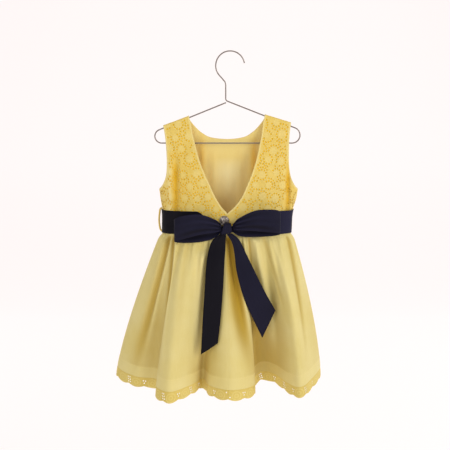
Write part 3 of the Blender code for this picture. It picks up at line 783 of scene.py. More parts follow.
def lace_relief(flat, rosettes, holes, edge):
    """How far the embroidery stands up, and how light its thread is."""
    gaps = flat[:, None, :] - rosettes[None, :, :2]
    reach = np.sqrt((gaps**2).sum(axis=2))
    which = reach.argmin(axis=1)
    away = reach[np.arange(len(flat)), which]
    near = gaps[np.arange(len(flat)), which]
    turn = np.arctan2(near[:, 1], near[:, 0])
    petals = bump(away - PETAL_RADIUS, PETAL_WIDTH) * (0.5 + 0.5 * np.cos(ROSETTE_PETALS * turn + which))
    rise = PETAL_RAISE * (petals + bump(away, MIDDLE_WIDTH))
    disc = np.clip((rosettes[which, 2] - away) / ROSETTE_FADE, 0, 1)
    rim = bump(nearest(flat, holes) - EYELET_RADIUS * RIM_SHARE, RIM_WIDTH)
    band = np.clip((EDGE_BAND - nearest(flat, edge)) / (2 * EDGE_RAISE), 0, 1)
    rise = rise * (1 - band) + RIM_RAISE * rim + EDGE_RAISE * band
    tone = disc * (DISC_TONE + PETAL_TONE * petals) - GROUND_TONE * (1 - disc) + RIM_TONE * rim
    return rise, tone * (1 - band) + BAND_TONE * band


# Bodice

def crest_height(radius):
    """The height of the shoulder line, which follows the hanger's arms."""
    return CREST_INNER_Z + CREST_SLOPE * (radius - CREST_INNER)


def unroll(share, half, depth):
    """The cloth distance from the centre line to a share of the half width."""
    return half * share + SIDE_CLOTH * depth * (1 - profile(share))


def roll(distance, half, depth):
    """The share of the half width at a cloth distance, found by halving."""
    low = np.zeros_like(distance)
    high = np.ones_like(distance)
    for _ in range(HALVINGS):
        middle = (low + high) / 2
        beyond = unroll(middle, half, depth) > distance
        high = np.where(beyond, middle, high)
        low = np.where(beyond, low, middle)
    return (low + high) / 2


def sunk(x, z, creases):
    """How far the soft creases sink in at each point."""
    depth = np.zeros_like(x)
    for crease in creases:
        depth += crease.depth * crease_share(x, z, crease)
    return depth


def crease_share(x, z, crease):
    """How much of one crease's depth is reached: it opens over its top half and stays."""
    along = np.clip((crease.top - z) / (crease.top - crease.bottom), 0, 1)
    opened = np.sin(pi * np.minimum(along * 1.2, 0.5 + 0.25 * along))
    return opened * bump(x - crease.x, crease.width)


def painted_crease_light(x, z, creases):
    """Painted light: a deeper colour down in the creases as their shade, and paler on the ridges as a
    highlight.
    """
    tone = np.zeros_like(x)
    for crease in creases:
        tone += crease.tone * crease_share(x, z, crease)
    return tone


def edge_value(rows, z, side):
    """The inner or outer edge of the shoulder at one height."""
    heights = [-getattr(row, side + "_z") for row in rows]
    return np.interp(-z, heights, [getattr(row, side) for row in rows])


def bodice_points(flat, rows, facing, inward=0.0, creases=()):
    """Points of the bodice for cloth distances from its centre line and flat heights."""
    side = np.where(flat[:, 0] < 0, -1.0, 1.0)
    height = flat[:, 1]
    half = level_value(height, "half_width")
    depth = level_value(height, "back_depth" if facing < 0 else "front_depth")
    share = roll(np.abs(flat[:, 0]), half, depth)
    radius = share * half
    x = level_value(height, "centre") + side * share * (half - inward)
    over = crest_height(radius) + CREST_EXTRA - height
    turn = np.clip(over / STRAP_ROLL, 0, pi / 2)
    z = np.where(turn < pi / 2, crest_height(radius) - STRAP_ROLL * (1 - np.cos(turn)), height)
    settle = 1 - bump(np.clip(over, 0, None), SHOULDER_SETTLE)
    y = (level_value(height, "stand") - inward) * np.sin(turn) + depth * profile(share) * settle
    z = z - inward * np.cos(turn)
    y = y - sunk(x, z, creases) * np.clip(y / CREASE_CALM, 0, 1)
    y = np.maximum(y, LEAST_STAND - 0.2 * np.minimum(inward, 0.0))
    inner = edge_value(rows, height, "inner")
    outer = edge_value(rows, height, "outer")
    along = np.clip((radius - inner) / (outer - inner), 0, 1)
    fade = np.clip((LIFT_FADE_Z - height) / (LIFT_FADE_Z - CREST_INNER_Z), 0, 1)
    from_centre = np.clip(radius / LIFT_REACH, 0, 1)**2
    lift = RIGHT_SHOULDER_LIFT * (1 - OUTER_LIFT + OUTER_LIFT * along) * fade * from_centre
    z = z + np.where(side > 0, lift, 0.0)
    return np.column_stack((x, facing * y, z))


def lay_flat(radius, z, facing):
    """Flat places of the bodice for distances across and heights."""
    half = level_value(z, "half_width")
    depth = level_value(z, "back_depth" if facing < 0 else "front_depth")
    return np.column_stack((unroll(np.clip(radius / half, 0, 1), half, depth), z))


def neck_line(rows, facing):
    """The inner edge of half a bodice; the front's scoop comes level at the centre line."""
    if facing < 0:
        return smooth_rows([(row.inner, row.inner_z) for row in rows], EDGE_STEPS)
    across = [(row.inner, row.inner_z) for row in rows[:FRONT_NECK_FOOT + 1]]
    mirrored = (-across[-2][0], across[-2][1])
    scoop = smooth_rows(across + [mirrored], EDGE_STEPS)[:EDGE_STEPS * FRONT_NECK_FOOT + 1]
    count = EDGE_STEPS * (len(rows) - FRONT_NECK_FOOT - 1) + 1
    centre = [(0.0, z) for z in np.linspace(across[-1][1], rows[-1].inner_z, count)[1:]]
    return np.vstack((scoop, centre))


def half_outline(rows, underarm, facing):
    """The edges of half a bodice: neck, centre, foot, side, armhole and shoulder."""
    neck = neck_line(rows, facing)
    if facing > 0:
        neck = neck[:EDGE_STEPS * FRONT_NECK_FOOT + 1]
    centre = np.array(((neck[-1][0], neck[-1][1]), (neck[-1][0], LACE_FOOT)))
    low_heights = np.linspace(LACE_FOOT, rows[underarm].outer_z, SIDE_POINTS)
    side = np.column_stack((level_value(low_heights, "half_width"), low_heights))
    armhole = smooth_rows([(row.outer, row.outer_z) for row in rows[:underarm + 1]], EDGE_STEPS)[::-1]
    parts = {"neck": neck, "centre": centre, "side": side, "armhole": armhole}
    laid = {name: lay_flat(part[:, 0], part[:, 1], facing) for name, part in parts.items()}
    for name, end in (("neck", 0), ("armhole", -1)):
        laid[name][end, 1] += CREST_EXTRA - SEAM
    return {name: spaced(part, LACE_STEP) for name, part in laid.items()}


def closed_outline(lines):
    """One closed outline from open lines laid end to end."""
    joined = []
    for line, following in zip(lines, lines[1:] + lines[:1]):
        bridge = spaced(np.vstack((line[-1], following[0])), LACE_STEP)
        joined.append(line[:-1])
        joined.append(bridge[:-1])
    points = np.vstack(joined)
    apart = np.linalg.norm(points - np.roll(points, 1, axis=0), axis=1)
    return points[apart > LEAST_APART]


def lace_piece(name, outline, edge, rows, facing, creases, seed, material):
    """One cut panel of eyelet lace, bent to the bodice."""
    rng = np.random.default_rng(seed)
    rosettes = rosette_places(outline.min(axis=0), outline.max(axis=0), rng)
    holes = eyelet_places(rosettes, outline, edge, rng)
    flat, faces = cut_cloth(outline, holes, EYELET_RADIUS, LACE_STEP)
    rise, tone = lace_relief(flat, rosettes, holes, edge)
    points = bodice_points(flat, rows, facing, -rise, creases)
    # Painted light of the creases, deeper in each crease and paler on the ridges, laid over the embroidery's
    # own tone.
    deeper_mottle_and_painted_light = painted_crease_light(points[:, 0], points[:, 2], creases)
    tone = np.clip(tone * (1 - 0.6 * np.abs(deeper_mottle_and_painted_light)) + deeper_mottle_and_painted_light, -1, 1)
    piece = place_piece(name, points, faces, material, flat, tone)
    give_wall(piece, LACE)
    eyelets, beside, higher = (bodice_points(holes + shift, rows, facing, -RING_RAISE, creases)
                               for shift in ((0.0, 0.0), (NEIGHBOUR, 0.0), (0.0, NEIGHBOUR)))
    ahead = beside - eyelets
    above = higher - eyelets
    normals = np.cross(ahead, above) * -facing
    size = outline.max(axis=0) - outline.min(axis=0)
    return piece, (eyelets, normals, ahead), size, flat_area(flat, faces)


def make_back_lace(name, side, seed, material):
    """Half of the back, from the V to the side seam and up to the strap."""
    lines = half_outline(BACK_ROWS, BACK_UNDERARM, -1)
    outline = closed_outline([lines["neck"], lines["centre"], lines["side"], lines["armhole"]])
    edge = np.vstack((lines["neck"], lines["armhole"]))
    outline[:, 0] *= side
    edge = edge * (side, 1)
    return lace_piece(name, outline, edge, BACK_ROWS, -1, BACK_CREASES, seed, material)


def raised_edge(flat):
    """Points on the raised edge band of the back's lace."""
    return bodice_points(flat, BACK_ROWS, -1, -EDGE_RAISE, BACK_CREASES)


def make_front_lace(seed, material):
    """The whole front, with the scooped neck between its straps."""
    lines = half_outline(FRONT_ROWS, FRONT_UNDERARM, 1)
    mirror = {key: (line * (-1, 1))[::-1] for key, line in lines.items()}
    outline = closed_outline([lines["side"], lines["armhole"], lines["neck"], mirror["neck"],
                              mirror["armhole"], mirror["side"]])
    edge = np.vstack((lines["neck"], lines["armhole"], mirror["neck"], mirror["armhole"]))
    return lace_piece("front_lace", outline, edge, FRONT_ROWS, 1, FRONT_CREASES, seed, material)


def lining_grid(rows, side, facing, columns, inset, gap, creases):
    """Half of a plain lining, just inside the lace."""
    outer_edge = smooth_rows([(row.outer, row.outer_z) for row in rows], EDGE_STEPS)
    table = np.hstack((neck_line(rows, facing), outer_edge))
    foot_row = np.array((table[-1][0], LACE_FOOT, level_value(LACE_FOOT, "half_width"), LACE_FOOT))
    ramp = np.linspace(0, 1, 3 * EDGE_STEPS + 1)[1:, None]
    table = np.vstack((table, table[-1] + (foot_row - table[-1]) * ramp))
    shares = np.linspace(0, 1, columns + 1)
    grid = []
    for inner, inner_z, outer, outer_z in table:
        half = level_value(outer_z, "half_width")
        limit = min(outer - inset, half * LINING_REACH)
        start = min(inner + min(inset, 0.3 * inner), limit - LINING_LEAST)
        first = np.arcsin(min(start / half, 1.0))
        last = np.arcsin(min(limit / half, 1.0))
        radius = half * np.sin(first + (last - first) * shares)
        z = inner_z + (outer_z - inner_z) * (radius - inner) / (outer - inner)
        flat = lay_flat(radius, z, facing) * (side, 1)
        grid.append(bodice_points(flat, rows, facing, gap, creases))
    return np.array(grid)


def make_back_linings(material):
    """The plain linings of both halves of the back."""
    made = []
    for name, side in (("back_lining_left", -1), ("back_lining_right", 1)):
        grid = lining_grid(BACK_ROWS, side, -1, BACK_LINING_COLUMNS, BACK_LINING_INSET, LINING_GAP,
                           BACK_CREASES)
        made.append(grid_piece(name, grid[1:], LINING, material))
    return made


def make_front_lining(material):
    """The plain lining of the front, seen inside the V and open above the scooped neck."""
    left, right = (lining_grid(FRONT_ROWS, side, 1, FRONT_LINING_COLUMNS, FRONT_LINING_INSET,
                               FRONT_LAYER_GAP, LINING_CREASES) for side in (-1, 1))
    left = left[:, ::-1]
    rows, columns = right.shape[:2]
    lay_left, width, length = grid_lay(left)
    lay_right, _, _ = grid_lay(right)
    points = np.vstack((left.reshape(-1, 3), right.reshape(-1, 3)))
    lay = np.vstack((lay_left.reshape(-1, 2) - (width, 0.0), lay_right.reshape(-1, 2)))
    faces = grid_faces(rows, columns)
    # Painted shade in the lining's creases and near the V's edges, and painted light at the shaded foot of
    # the V.
    tone = np.clip(painted_crease_light(points[:, 0], points[:, 2], LINING_CREASES), -1, 1)
    faces = np.vstack((faces, faces + rows * columns))
    piece = weld(place_piece("front_lining", points, faces, material, lay, tone))
    return give_wall(piece, LINING), 2 * width, length


# Skirt

class ClosedLine:
    """A closed line in plan, read by the share of its length from the centre back."""

    def __init__(self, points):
        """The line's points with the first one again at its end, and their shares."""
        self.points = np.vstack((points, points[:1]))
        steps = np.linalg.norm(np.diff(self.points[:, :2], axis=0), axis=1)
        self.shares = np.concatenate(((0,), np.cumsum(steps))) / steps.sum()
        self.length = steps.sum()

    def at(self, shares):
        """The line's columns at shares of its length."""
        shares = np.mod(shares, 1.0)
        columns = [np.interp(shares, self.shares, column) for column in self.points.T]
        return np.stack(columns, axis=-1)


def waist_line():
    """The rounded oblong that the skirt is gathered to."""
    waist = LEVELS[-1]
    angles = np.linspace(-pi / 2, 3 * pi / 2, 720, endpoint=False)
    across = np.sign(np.cos(angles)) * np.abs(np.cos(angles))**(2 / SHARPNESS)
    out = np.sign(np.sin(angles)) * np.abs(np.sin(angles))**(2 / SHARPNESS)
    depth = np.where(out < 0, waist.back_depth, waist.front_depth)
    return ClosedLine(np.stack((waist.centre + waist.half_width * across, depth * out), axis=1))


def hem_line():
    """The hem in plan, with its lift as a third column."""
    table = np.array([fold[1:] for fold in HEM_FOLDS])
    padded = np.vstack((table[-1:], table, table[:2]))
    places = np.linspace(0, len(table), 24 * len(table), endpoint=False)
    return ClosedLine(np.array([curve_through(padded, place) for place in places]))


WAIST_LINE = waist_line()
HEM_LINE = hem_line()


def to_seam(shares):
    """The share of the way round from each column to the nearest seam."""
    return np.min([np.abs(np.mod(shares, 1.0) - seam) for seam in SEAM_SHARES], axis=0)


def gather_push(shares, lengths):
    """How far the gathers and puckers push the cloth out below the waist seam."""
    lengths = np.clip(lengths, 0, None)
    wobble = 0.45 * np.sin(2 * pi * 3 * shares + 1.0) + 0.3 * np.sin(2 * pi * 7 * shares)
    calm = 1 - bump(to_seam(shares), SEAM_CALM)
    wave = np.cos(2 * pi * GATHERS * shares + wobble)
    depth = GATHER_DEPTH * (1 - bump(lengths, GATHER_RISE)) * bump(lengths, GATHER_FADE)
    uneven = np.sin(2 * pi * PUCKERS * shares + 2.0 * np.sin(2 * pi * 11 * shares))
    pucker = PUCKER_DEPTH * uneven * (1 - bump(lengths, 0.004)) * np.exp(-lengths / PUCKER_FADE)
    puff = PUFF * (1 - bump(lengths, PUFF_RISE)) * np.exp(-lengths / SKIRT_LENGTH)
    return puff + (depth * wave + pucker) * calm


def crease_reach(crease, shares, lengths, spread=1.0, rise=CREASE_RISE):
    """How much of one crease is reached: strong under the waist, fading downwards."""
    along = np.clip((lengths - crease.top) / (crease.bottom - crease.top), 0, 1)
    centre = crease.head + (crease.foot - crease.head) * along
    gap = np.mod(shares - centre + 0.5, 1.0) - 0.5
    opened = 1 - bump(np.clip(lengths - crease.top, 0, None), rise)
    left = np.clip(1.7 * (1 - along), 0, 1)
    return opened * left * left * (3 - 2 * left) * bump(gap, crease.width * spread)


def soft_creases(shares, lengths, spread=1.0):
    """Creases down the skirt, uneven in place and length; a spread widens the sunk ones."""
    push = np.zeros_like(shares)
    for crease in SKIRT_CREASES:
        push -= crease.depth * crease_reach(crease, shares, lengths, spread if crease.depth > 0 else 1.0)
    return push


def outward(shares):
    """Horizontal directions out of the waist's oblong at the same shares."""
    ahead = WAIST_LINE.at(shares + 0.004) - WAIST_LINE.at(shares - 0.004)
    ahead /= np.linalg.norm(ahead, axis=1)[:, None]
    return np.column_stack((ahead[:, 1], -ahead[:, 0]))


def skirt_points(shares, lengths, raised=0.0):
    """Points of the skirt for shares of the way round and cloth lengths from the waist."""
    waist = WAIST_LINE.at(shares)
    hem = HEM_LINE.at(shares)
    spread = hem[:, :2] - waist
    reach = np.linalg.norm(spread, axis=1)
    power = FLARE_POWER + FLARE_POWER_SKEW * (waist[:, 0] - LEVELS[-1].centre) / LEVELS[-1].half_width
    down = np.clip(lengths / SKIRT_LENGTH, 0, 1)
    fine = np.linspace(0, 1, FALL_STEPS + 1)
    slope = (reach * power / SKIRT_LENGTH)[:, None] * (1 - fine[None, :])**(power[:, None] - 1)
    fall = np.sqrt(np.clip(1 - slope**2, 0.05, 1))
    fall = np.cumsum((fall[:, 1:] + fall[:, :-1]) / 2, axis=1) * SKIRT_LENGTH / FALL_STEPS
    fall = np.hstack((np.zeros((len(shares), 1)), fall))
    place = down * FALL_STEPS
    i = np.minimum(place.astype(int), FALL_STEPS - 1)
    line = np.arange(len(shares))
    dropped = fall[line, i] + (fall[line, i + 1] - fall[line, i]) * (place - i)
    plan = waist + spread * (1 - (1 - down)**power)[:, None]
    push = gather_push(shares, lengths) + soft_creases(shares, lengths) + raised
    plan = plan + push[:, None] * outward(shares)
    z = WAIST_Z - dropped + hem[:, 2] * down**2 + np.clip(-lengths, 0, None)
    return np.column_stack((plan, z))


def cloth_normals(function, flat, step=0.0006):
    """Outward directions and headings of bent cloth at flat places."""
    here = function(flat)
    ahead = function(flat + (step, 0.0)) - here
    above = function(flat - (0.0, step)) - here
    return np.cross(ahead, above), ahead


def around(flat):
    """Points of the skirt for flat places: cloth round the hem and down from the waist."""
    return skirt_points(flat[:, 0] / HEM_LINE.length, flat[:, 1])


PANELS = (("back_right", 0.0, 0.25), ("front", 0.25, 0.75), ("back_left", 0.75, 1.0))


def make_skirt_panel(part, start, end, material):
    """One gathered panel with its own hem fold and sunk side seams."""
    columns = round((end - start) * SCALLOPS * COLUMNS_PER_SCALLOP)
    inset = SEAM / 2 / HEM_LINE.length
    shares = np.linspace(start + inset, end - inset, columns + 1)
    upper = np.linspace(-SKIRT_TUCK, FINE_ROWS_TO, FINE_ROWS)
    lower = np.linspace(FINE_ROWS_TO, SKIRT_LENGTH - TRIM_HEIGHT, SKIRT_ROWS - FINE_ROWS + 1)[1:]
    lengths = np.concatenate((upper, lower))
    share, length = np.meshgrid(shares, lengths)
    fold = np.clip((length - HEM_FOLD_TOP) / HEM_FOLD_STEP, 0, 1)
    edge = np.minimum(share - start, end - share) * HEM_LINE.length
    raised = HEM_FOLD_RAISE * fold - SEAM_SINK * bump(edge, SEAM_WIDTH)
    raised -= HEM_GROOVE * bump(length - HEM_FOLD_TOP + HEM_GROOVE, HEM_GROOVE_WIDTH)
    points = skirt_points(share.ravel(), length.ravel(), raised.ravel())
    lay = np.column_stack((share.ravel() * HEM_LINE.length, length.ravel()))
    # Its tone is painted shade in the skirt's folds and troughs.
    piece = place_piece("skirt_" + part + "_cloth", points, grid_faces(len(lengths), len(shares)),
                        material, lay, painted_fold_light(share, length, fold).ravel())
    give_wall(piece, COTTON)
    even = piece.modifiers.new("Even shading", "WEIGHTED_NORMAL")
    even.weight = 100
    return piece


def painted_fold_light(share, length, fold):
    """Painted shade: deeper yellow down in the troughs, creases and gathers and in the listed shaded places;
    paler where the hem lies double.
    """
    hem = HEM_LINE.at(share.ravel())
    waist = WAIST_LINE.at(share.ravel())
    out = np.linalg.norm(hem[:, :2] - waist, axis=1).reshape(share.shape)
    lower = np.clip((length - TROUGH_TOP) / TROUGH_FADE, 0, 1)
    trough = np.clip((TROUGH_REACH - out) / TROUGH_SPAN, 0, 1) * lower
    sunk_in = -soft_creases(share, length, VALLEY_SPREAD) / VALLEY_DEPTH
    gathered = np.clip(-gather_push(share, length) / GATHER_DEPTH, 0, 1)
    painted_shade = sum(shade.tone * crease_reach(shade, share, length, rise=SHADE_RISE) for shade in SKIRT_PAINTED_SHADES)
    tone = np.tanh(painted_shade - TROUGH_TONE * trough - VALLEY_TONE * sunk_in - GATHER_TONE * gathered)
    return np.minimum(tone + HEM_FOLD_TONE * fold, PALEST_TONE)


def scallop_drop(shares):
    """How far the scalloped edge is above its lowest points."""
    return SCALLOP_DEPTH * (1 - np.abs(np.sin(pi * SCALLOPS * shares)))


def trim_eyelets(start, end):
    """Clusters of eyelets over the points between the scallops, in turn a three and a slanted six."""
    pitch = HEM_LINE.length / SCALLOPS
    pair = TRIM_EYELET_PAIR
    places = []
    for k in range(round(start * SCALLOPS), round(end * SCALLOPS) + 1):
        middle = np.array((k * pitch, SKIRT_LENGTH - TRIM_EYELET_RISE))
        if k % 2:
            cluster = [(-pair, -pair), (pair, -pair), (0.0, pair)]
        else:
            cluster = [(side * pair + TRIM_CLUSTER_SHIFT * (row - 1), (row - 1) * 2 * pair)
                       for side in (-1, 1) for row in range(3)]
        places += [middle + spot for spot in cluster]
    places = np.array(places)
    low = start * HEM_LINE.length + TRIM_FROM_SEAM
    high = end * HEM_LINE.length - TRIM_FROM_SEAM
    return places[(places[:, 0] > low) & (places[:, 0] < high)]


def make_trim(part, start, end, material):
    """One length of the scalloped border, tucked under the hem of the skirt."""
    length = HEM_LINE.length
    inset = SEAM / 2
    across = spaced(np.array(((start * length + inset, 0.0), (end * length - inset, 0.0))), LACE_STEP)[:, 0]
    top = np.column_stack((across, np.full(len(across), SKIRT_LENGTH - TRIM_HEIGHT - TRIM_TUCK)))
    bottom = np.column_stack((across, SKIRT_LENGTH - scallop_drop(across / length)))[::-1]
    outline = closed_outline([top, bottom])
    holes = trim_eyelets(start, end)
    flat, faces = cut_cloth(outline, holes, TRIM_EYELET_RADIUS, LACE_STEP)
    pitch = length / SCALLOPS
    lobe = (np.floor(flat[:, 0] / pitch) + 0.5) * pitch
    ring = np.hypot((flat[:, 0] - lobe) / 1.15, flat[:, 1] - (SKIRT_LENGTH - TRIM_RING_RISE))
    rings = sum(bump(ring - radius, RIM_WIDTH) for radius in TRIM_RINGS)
    satin = np.clip((TRIM_SATIN - nearest(flat, bottom)) / TRIM_SATIN_RAISE, 0, 1)
    rim = bump(nearest(flat, holes) - TRIM_EYELET_RADIUS * TRIM_RIM_SHARE, RIM_WIDTH)
    rise = TRIM_RING_RAISE * rings + TRIM_SATIN_RAISE * satin + TRIM_RIM_RAISE * rim
    tone = TRIM_GROUND_TONE + TRIM_RING_TONE * rings + TRIM_SATIN_TONE * satin + TRIM_RIM_TONE * rim
    tone = np.clip(tone, -1, 1)
    tuck = np.clip((SKIRT_LENGTH - TRIM_HEIGHT + TRIM_BEND - flat[:, 1]) / (2 * TRIM_BEND), 0, 1)
    points = skirt_points(flat[:, 0] / length, flat[:, 1], rise - TRIM_BEHIND * tuck)
    piece = place_piece("trim_" + part, points, faces, material, flat, tone)
    give_wall(piece, LACE)
    normals, ahead = cloth_normals(around, holes)
    area = flat_area(flat, faces)
    size = outline.max(axis=0) - outline.min(axis=0)
    return piece, (around(holes), normals, ahead), size, area


# Sash and bow

def sash_grid():
    """The sash all round the waist, drawn into pleats where the knot takes it in."""
    angles = np.linspace(0, 2 * pi, SASH_COLUMNS)
    lines = []
    for down in np.linspace(0, 1, SASH_ROWS):
        across, facing = np.sin(angles), -np.cos(angles)
        flat_z = SASH_TOP + (SASH_BOTTOM - SASH_TOP) * down
        half = level_value(flat_z, "half_width")
        x = level_value(flat_z, "centre") + across * (half + SASH_STAND)
        depth = np.where(facing < 0, level_value(flat_z, "back_depth"), level_value(flat_z, "front_depth"))
        y = np.sign(facing) * ((depth + SASH_STAND) * profile(across) + SASH_EDGE)
        away = SASH_NARROWS_FROM - np.abs(x - KNOT_CENTRE[0])
        near = np.clip(away / (SASH_NARROWS_FROM - SASH_NARROW_HALF), 0, 1) * (facing < 0)
        near = near * near * (3 - 2 * near)
        tied_z = SASH_TOP_AT_KNOT + (SASH_BOTTOM_AT_KNOT - SASH_TOP_AT_KNOT) * down
        z = flat_z + (tied_z - flat_z) * near
        pleat = SASH_PLEAT * near * np.sin(2 * pi * SASH_PLEATS * down + 50 * x)
        ease = SASH_EASE * np.sin(2 * pi * 1.4 * down + 6 * angles) * (1 - near)
        y = y - SASH_DRAWN_IN * near**3 - pleat - ease * (facing < 0)
        lines.append(np.column_stack((x, y, z)))
    return np.array(lines)


def loop_grid(stations):
    """One loop of the bow with pleats that run out from the knot, and its painted light: paler on the
    pleats, darker in the crease.
    """
    shares = np.linspace(0, 1, LOOP_COLUMNS + 1)
    lines = []
    painted_pleat_light = []
    knot_x = stations[0].x
    for x, y, top, bottom in smooth_rows(stations, LOOP_STEPS):
        away = abs(x - knot_x)
        belly = LOOP_BELLY * np.sin(pi * shares) * np.sign(y - LOOP_FOLD_Y)
        calm = np.exp(-away / LOOP_PLEAT_FADE) * min(away / LOOP_CALM, 1.0)
        pleat = LOOP_PLEAT * calm * np.sin(2 * pi * 3.2 * shares + 1.1)
        out = away / LOOP_REACH
        crease = bump(shares - LOOP_CREASE_AT - LOOP_CREASE_DRIFT * out, LOOP_CREASE_WIDTH)
        crease = LOOP_CREASE * crease * sin(pi * min(out, 1.0))
        curve = y + belly - pleat + crease * np.sign(y - LOOP_FOLD_Y)
        lines.append(np.column_stack((np.full(len(shares), x), curve, top + (bottom - top) * shares)))
        # Painted highlight on the pleats and painted shade in the crease.
        tone = LOOP_PLEAT_TONE * pleat / LOOP_PLEAT - LOOP_CREASE_TONE * crease / LOOP_CREASE
        painted_pleat_light.append(np.clip(tone, -LOOP_TONE_LIMIT, LOOP_TONE_LIMIT))
    return np.array(lines), np.array(painted_pleat_light)


def knot_points():
    """The bow's knot: ribbon wrapped round the gathered middle, narrower at its top and askew."""
    centre = np.array(KNOT_CENTRE)
    half = np.array(KNOT_SIZE) / 2
    rings = []
    for u in np.linspace(-1, 1, KNOT_SLICES):
        close = (1 - abs(u)**6)**0.5 if abs(u) < 1 else 0.0
        taper = (1 - 0.10 * u) * (0.42 + 0.58 * close)
        angles = np.linspace(0, 2 * pi, KNOT_TURNS, endpoint=False)
        lift = np.sign(np.sin(angles)) * np.abs(np.sin(angles))**KNOT_SQUARE
        out = np.sign(np.cos(angles)) * np.abs(np.cos(angles))**KNOT_SQUARE
        ridge = 1 + KNOT_RIDGE * np.sin(2 * pi * 2.2 * u + 1.8 * np.sin(angles) + 0.7)
        y = out * half[1] * taper * ridge
        z = lift * half[2] * taper * ridge
        x = u * half[0] * (KNOT_MIDDLE - KNOT_TAPER * lift) + KNOT_LEAN * lift * half[2]
        rings.append(centre + np.column_stack((x, y, z + KNOT_TILT * x)))
    return np.array(rings)


def make_knot(material):
    """The knot as a closed form."""
    rings = knot_points()
    slices, turns = rings.shape[:2]
    points = np.vstack((rings.reshape(-1, 3), rings[0].mean(axis=0), rings[-1].mean(axis=0)))
    faces = []
    for i in range(slices - 1):
        for j in range(turns):
            k = (j + 1) % turns
            faces.append((i * turns + j, i * turns + k, (i + 1) * turns + k, (i + 1) * turns + j))
    start, end = len(points) - 2, len(points) - 1
    last = (slices - 1) * turns
    for j in range(turns):
        k = (j + 1) % turns
        faces.append((start, k, j))
        faces.append((end, last + j, last + k))
    width, length = KNOT_RIBBON
    across, along = np.meshgrid(np.linspace(0, width, slices), np.linspace(0, length, turns), indexing="ij")
    lay = np.vstack((np.column_stack((across.ravel(), along.ravel())), (0.0, 0.0), (width, 0.0)))
    return place_piece("knot_wrap", points, faces, material, lay)


def skirt_back_columns():
    """Meridians of the back of the skirt, to lay the bow's tails on."""
    shares = np.linspace(-0.25, 0.25, BACK_COLUMNS)
    lengths = np.linspace(0, SKIRT_LENGTH, BACK_LEVELS)
    share, length = np.meshgrid(shares, lengths)
    surface = skirt_points(share.ravel(), length.ravel())
    return surface.reshape(len(lengths), len(shares), 3).transpose(1, 0, 2)


def stand_off(columns, left, right, z):
    """The furthest back that the skirt reaches between two sides at one height."""
    reach = 0.0
    for column in columns:
        x = np.interp(-z, -column[:, 2], column[:, 0])
        if left - TAIL_BESIDE < x < right + TAIL_BESIDE:
            reach = min(reach, np.interp(-z, -column[:, 2], column[:, 1]))
    return reach


def smoothed(values, reach):
    """Values with each one evened out with its neighbours, twice."""
    weights = np.full(2 * reach + 1, 1 / (2 * reach + 1))
    for _ in range(2):
        values = np.convolve(np.pad(values, reach, mode="edge"), weights, mode="valid")
    return values


def tail_grid(cuts, columns, swing):
    """One hanging end of the bow, laid just clear of the skirt, with a soft wave across it."""
    shares = np.linspace(0, 1, TAIL_COLUMNS + 1)
    lines = []
    table = smooth_rows(cuts, TAIL_STEPS)
    backs = []
    for left, left_z, right, right_z in table:
        lowest = min(left_z, right_z)
        backs.append(min(KNOT_CENTRE[1], stand_off(columns, left, right, lowest) - TAIL_CLEARANCE))
    near = TAIL_NEIGHBOURS
    backs = [min(backs[max(0, i - near):i + near + 1]) for i in range(len(backs))]
    backs = smoothed(np.array(backs), TAIL_EVENED)
    for row, (left, left_z, right, right_z) in enumerate(table):
        down = row / (len(table) - 1)
        wave = TAIL_WAVE * np.sin(pi * shares)**2 * (0.35 + 0.65 * sin(2 * pi * (1.1 * down + swing))**2)
        pleat = TAIL_PLEAT * np.exp(-down / TAIL_PLEAT_FADE) * (1 + np.sin(2 * pi * 2.5 * shares + swing))
        y = backs[row] - wave - pleat
        x = left + (right - left) * shares
        z = left_z + (right_z - left_z) * shares
        lines.append(np.column_stack((x, y, z)))
    return np.array(lines)


def belt_loop_route(loop):
    """A cord from above the sash to below it at one side seam."""
    shares = np.linspace(0, 1, CORD_POINTS)
    z = BELT_LOOP_TOP + (BELT_LOOP_BOTTOM - BELT_LOOP_TOP) * shares
    side = level_value(z, "half_width") + SASH_STAND + SATIN / 2 + CORD_GAP + loop.radius - 0.3 * loop.ahead
    tuck = CORD_TUCK * (bump(shares, CORD_TUCKED) + bump(1 - shares, CORD_TUCKED))
    x = level_value(z, "centre") + loop.side * (side + loop.bulge * np.sin(pi * shares) - tuck)
    return np.column_stack((x, np.full(len(z), loop.ahead), z))


def make_button(material):
    """A domed button with a raised rim, faced to the back."""
    outline = smooth_rows(BUTTON_PROFILE, BUTTON_STEPS)
    turns = BUTTON_TURNS
    angles = np.linspace(0, 2 * pi, turns, endpoint=False)
    x, z = BUTTON_CENTRE
    base = -(level_value(z, "back_depth") + BUTTON_STAND)
    points = [(x, base - BUTTON_HEIGHT, z)]
    for share, height in outline[1:]:
        for angle in angles:
            points.append((x + share * BUTTON_RADIUS * cos(angle), base - height * BUTTON_HEIGHT,
                           z + share * BUTTON_RADIUS * sin(angle)))
    points.append((x, base, z))
    faces = [(0, 1 + j, 1 + (j + 1) % turns) for j in range(turns)]
    for i in range(len(outline) - 2):
        first, second = 1 + i * turns, 1 + (i + 1) * turns
        for j in range(turns):
            k = (j + 1) % turns
            faces.append((first + k, first + j, second + j, second + k))
    last = 1 + (len(outline) - 2) * turns
    faces += [(len(points) - 1, last + (j + 1) % turns, last + j) for j in range(turns)]
    return place_piece("shell_button", points, faces, material)


# Hanger

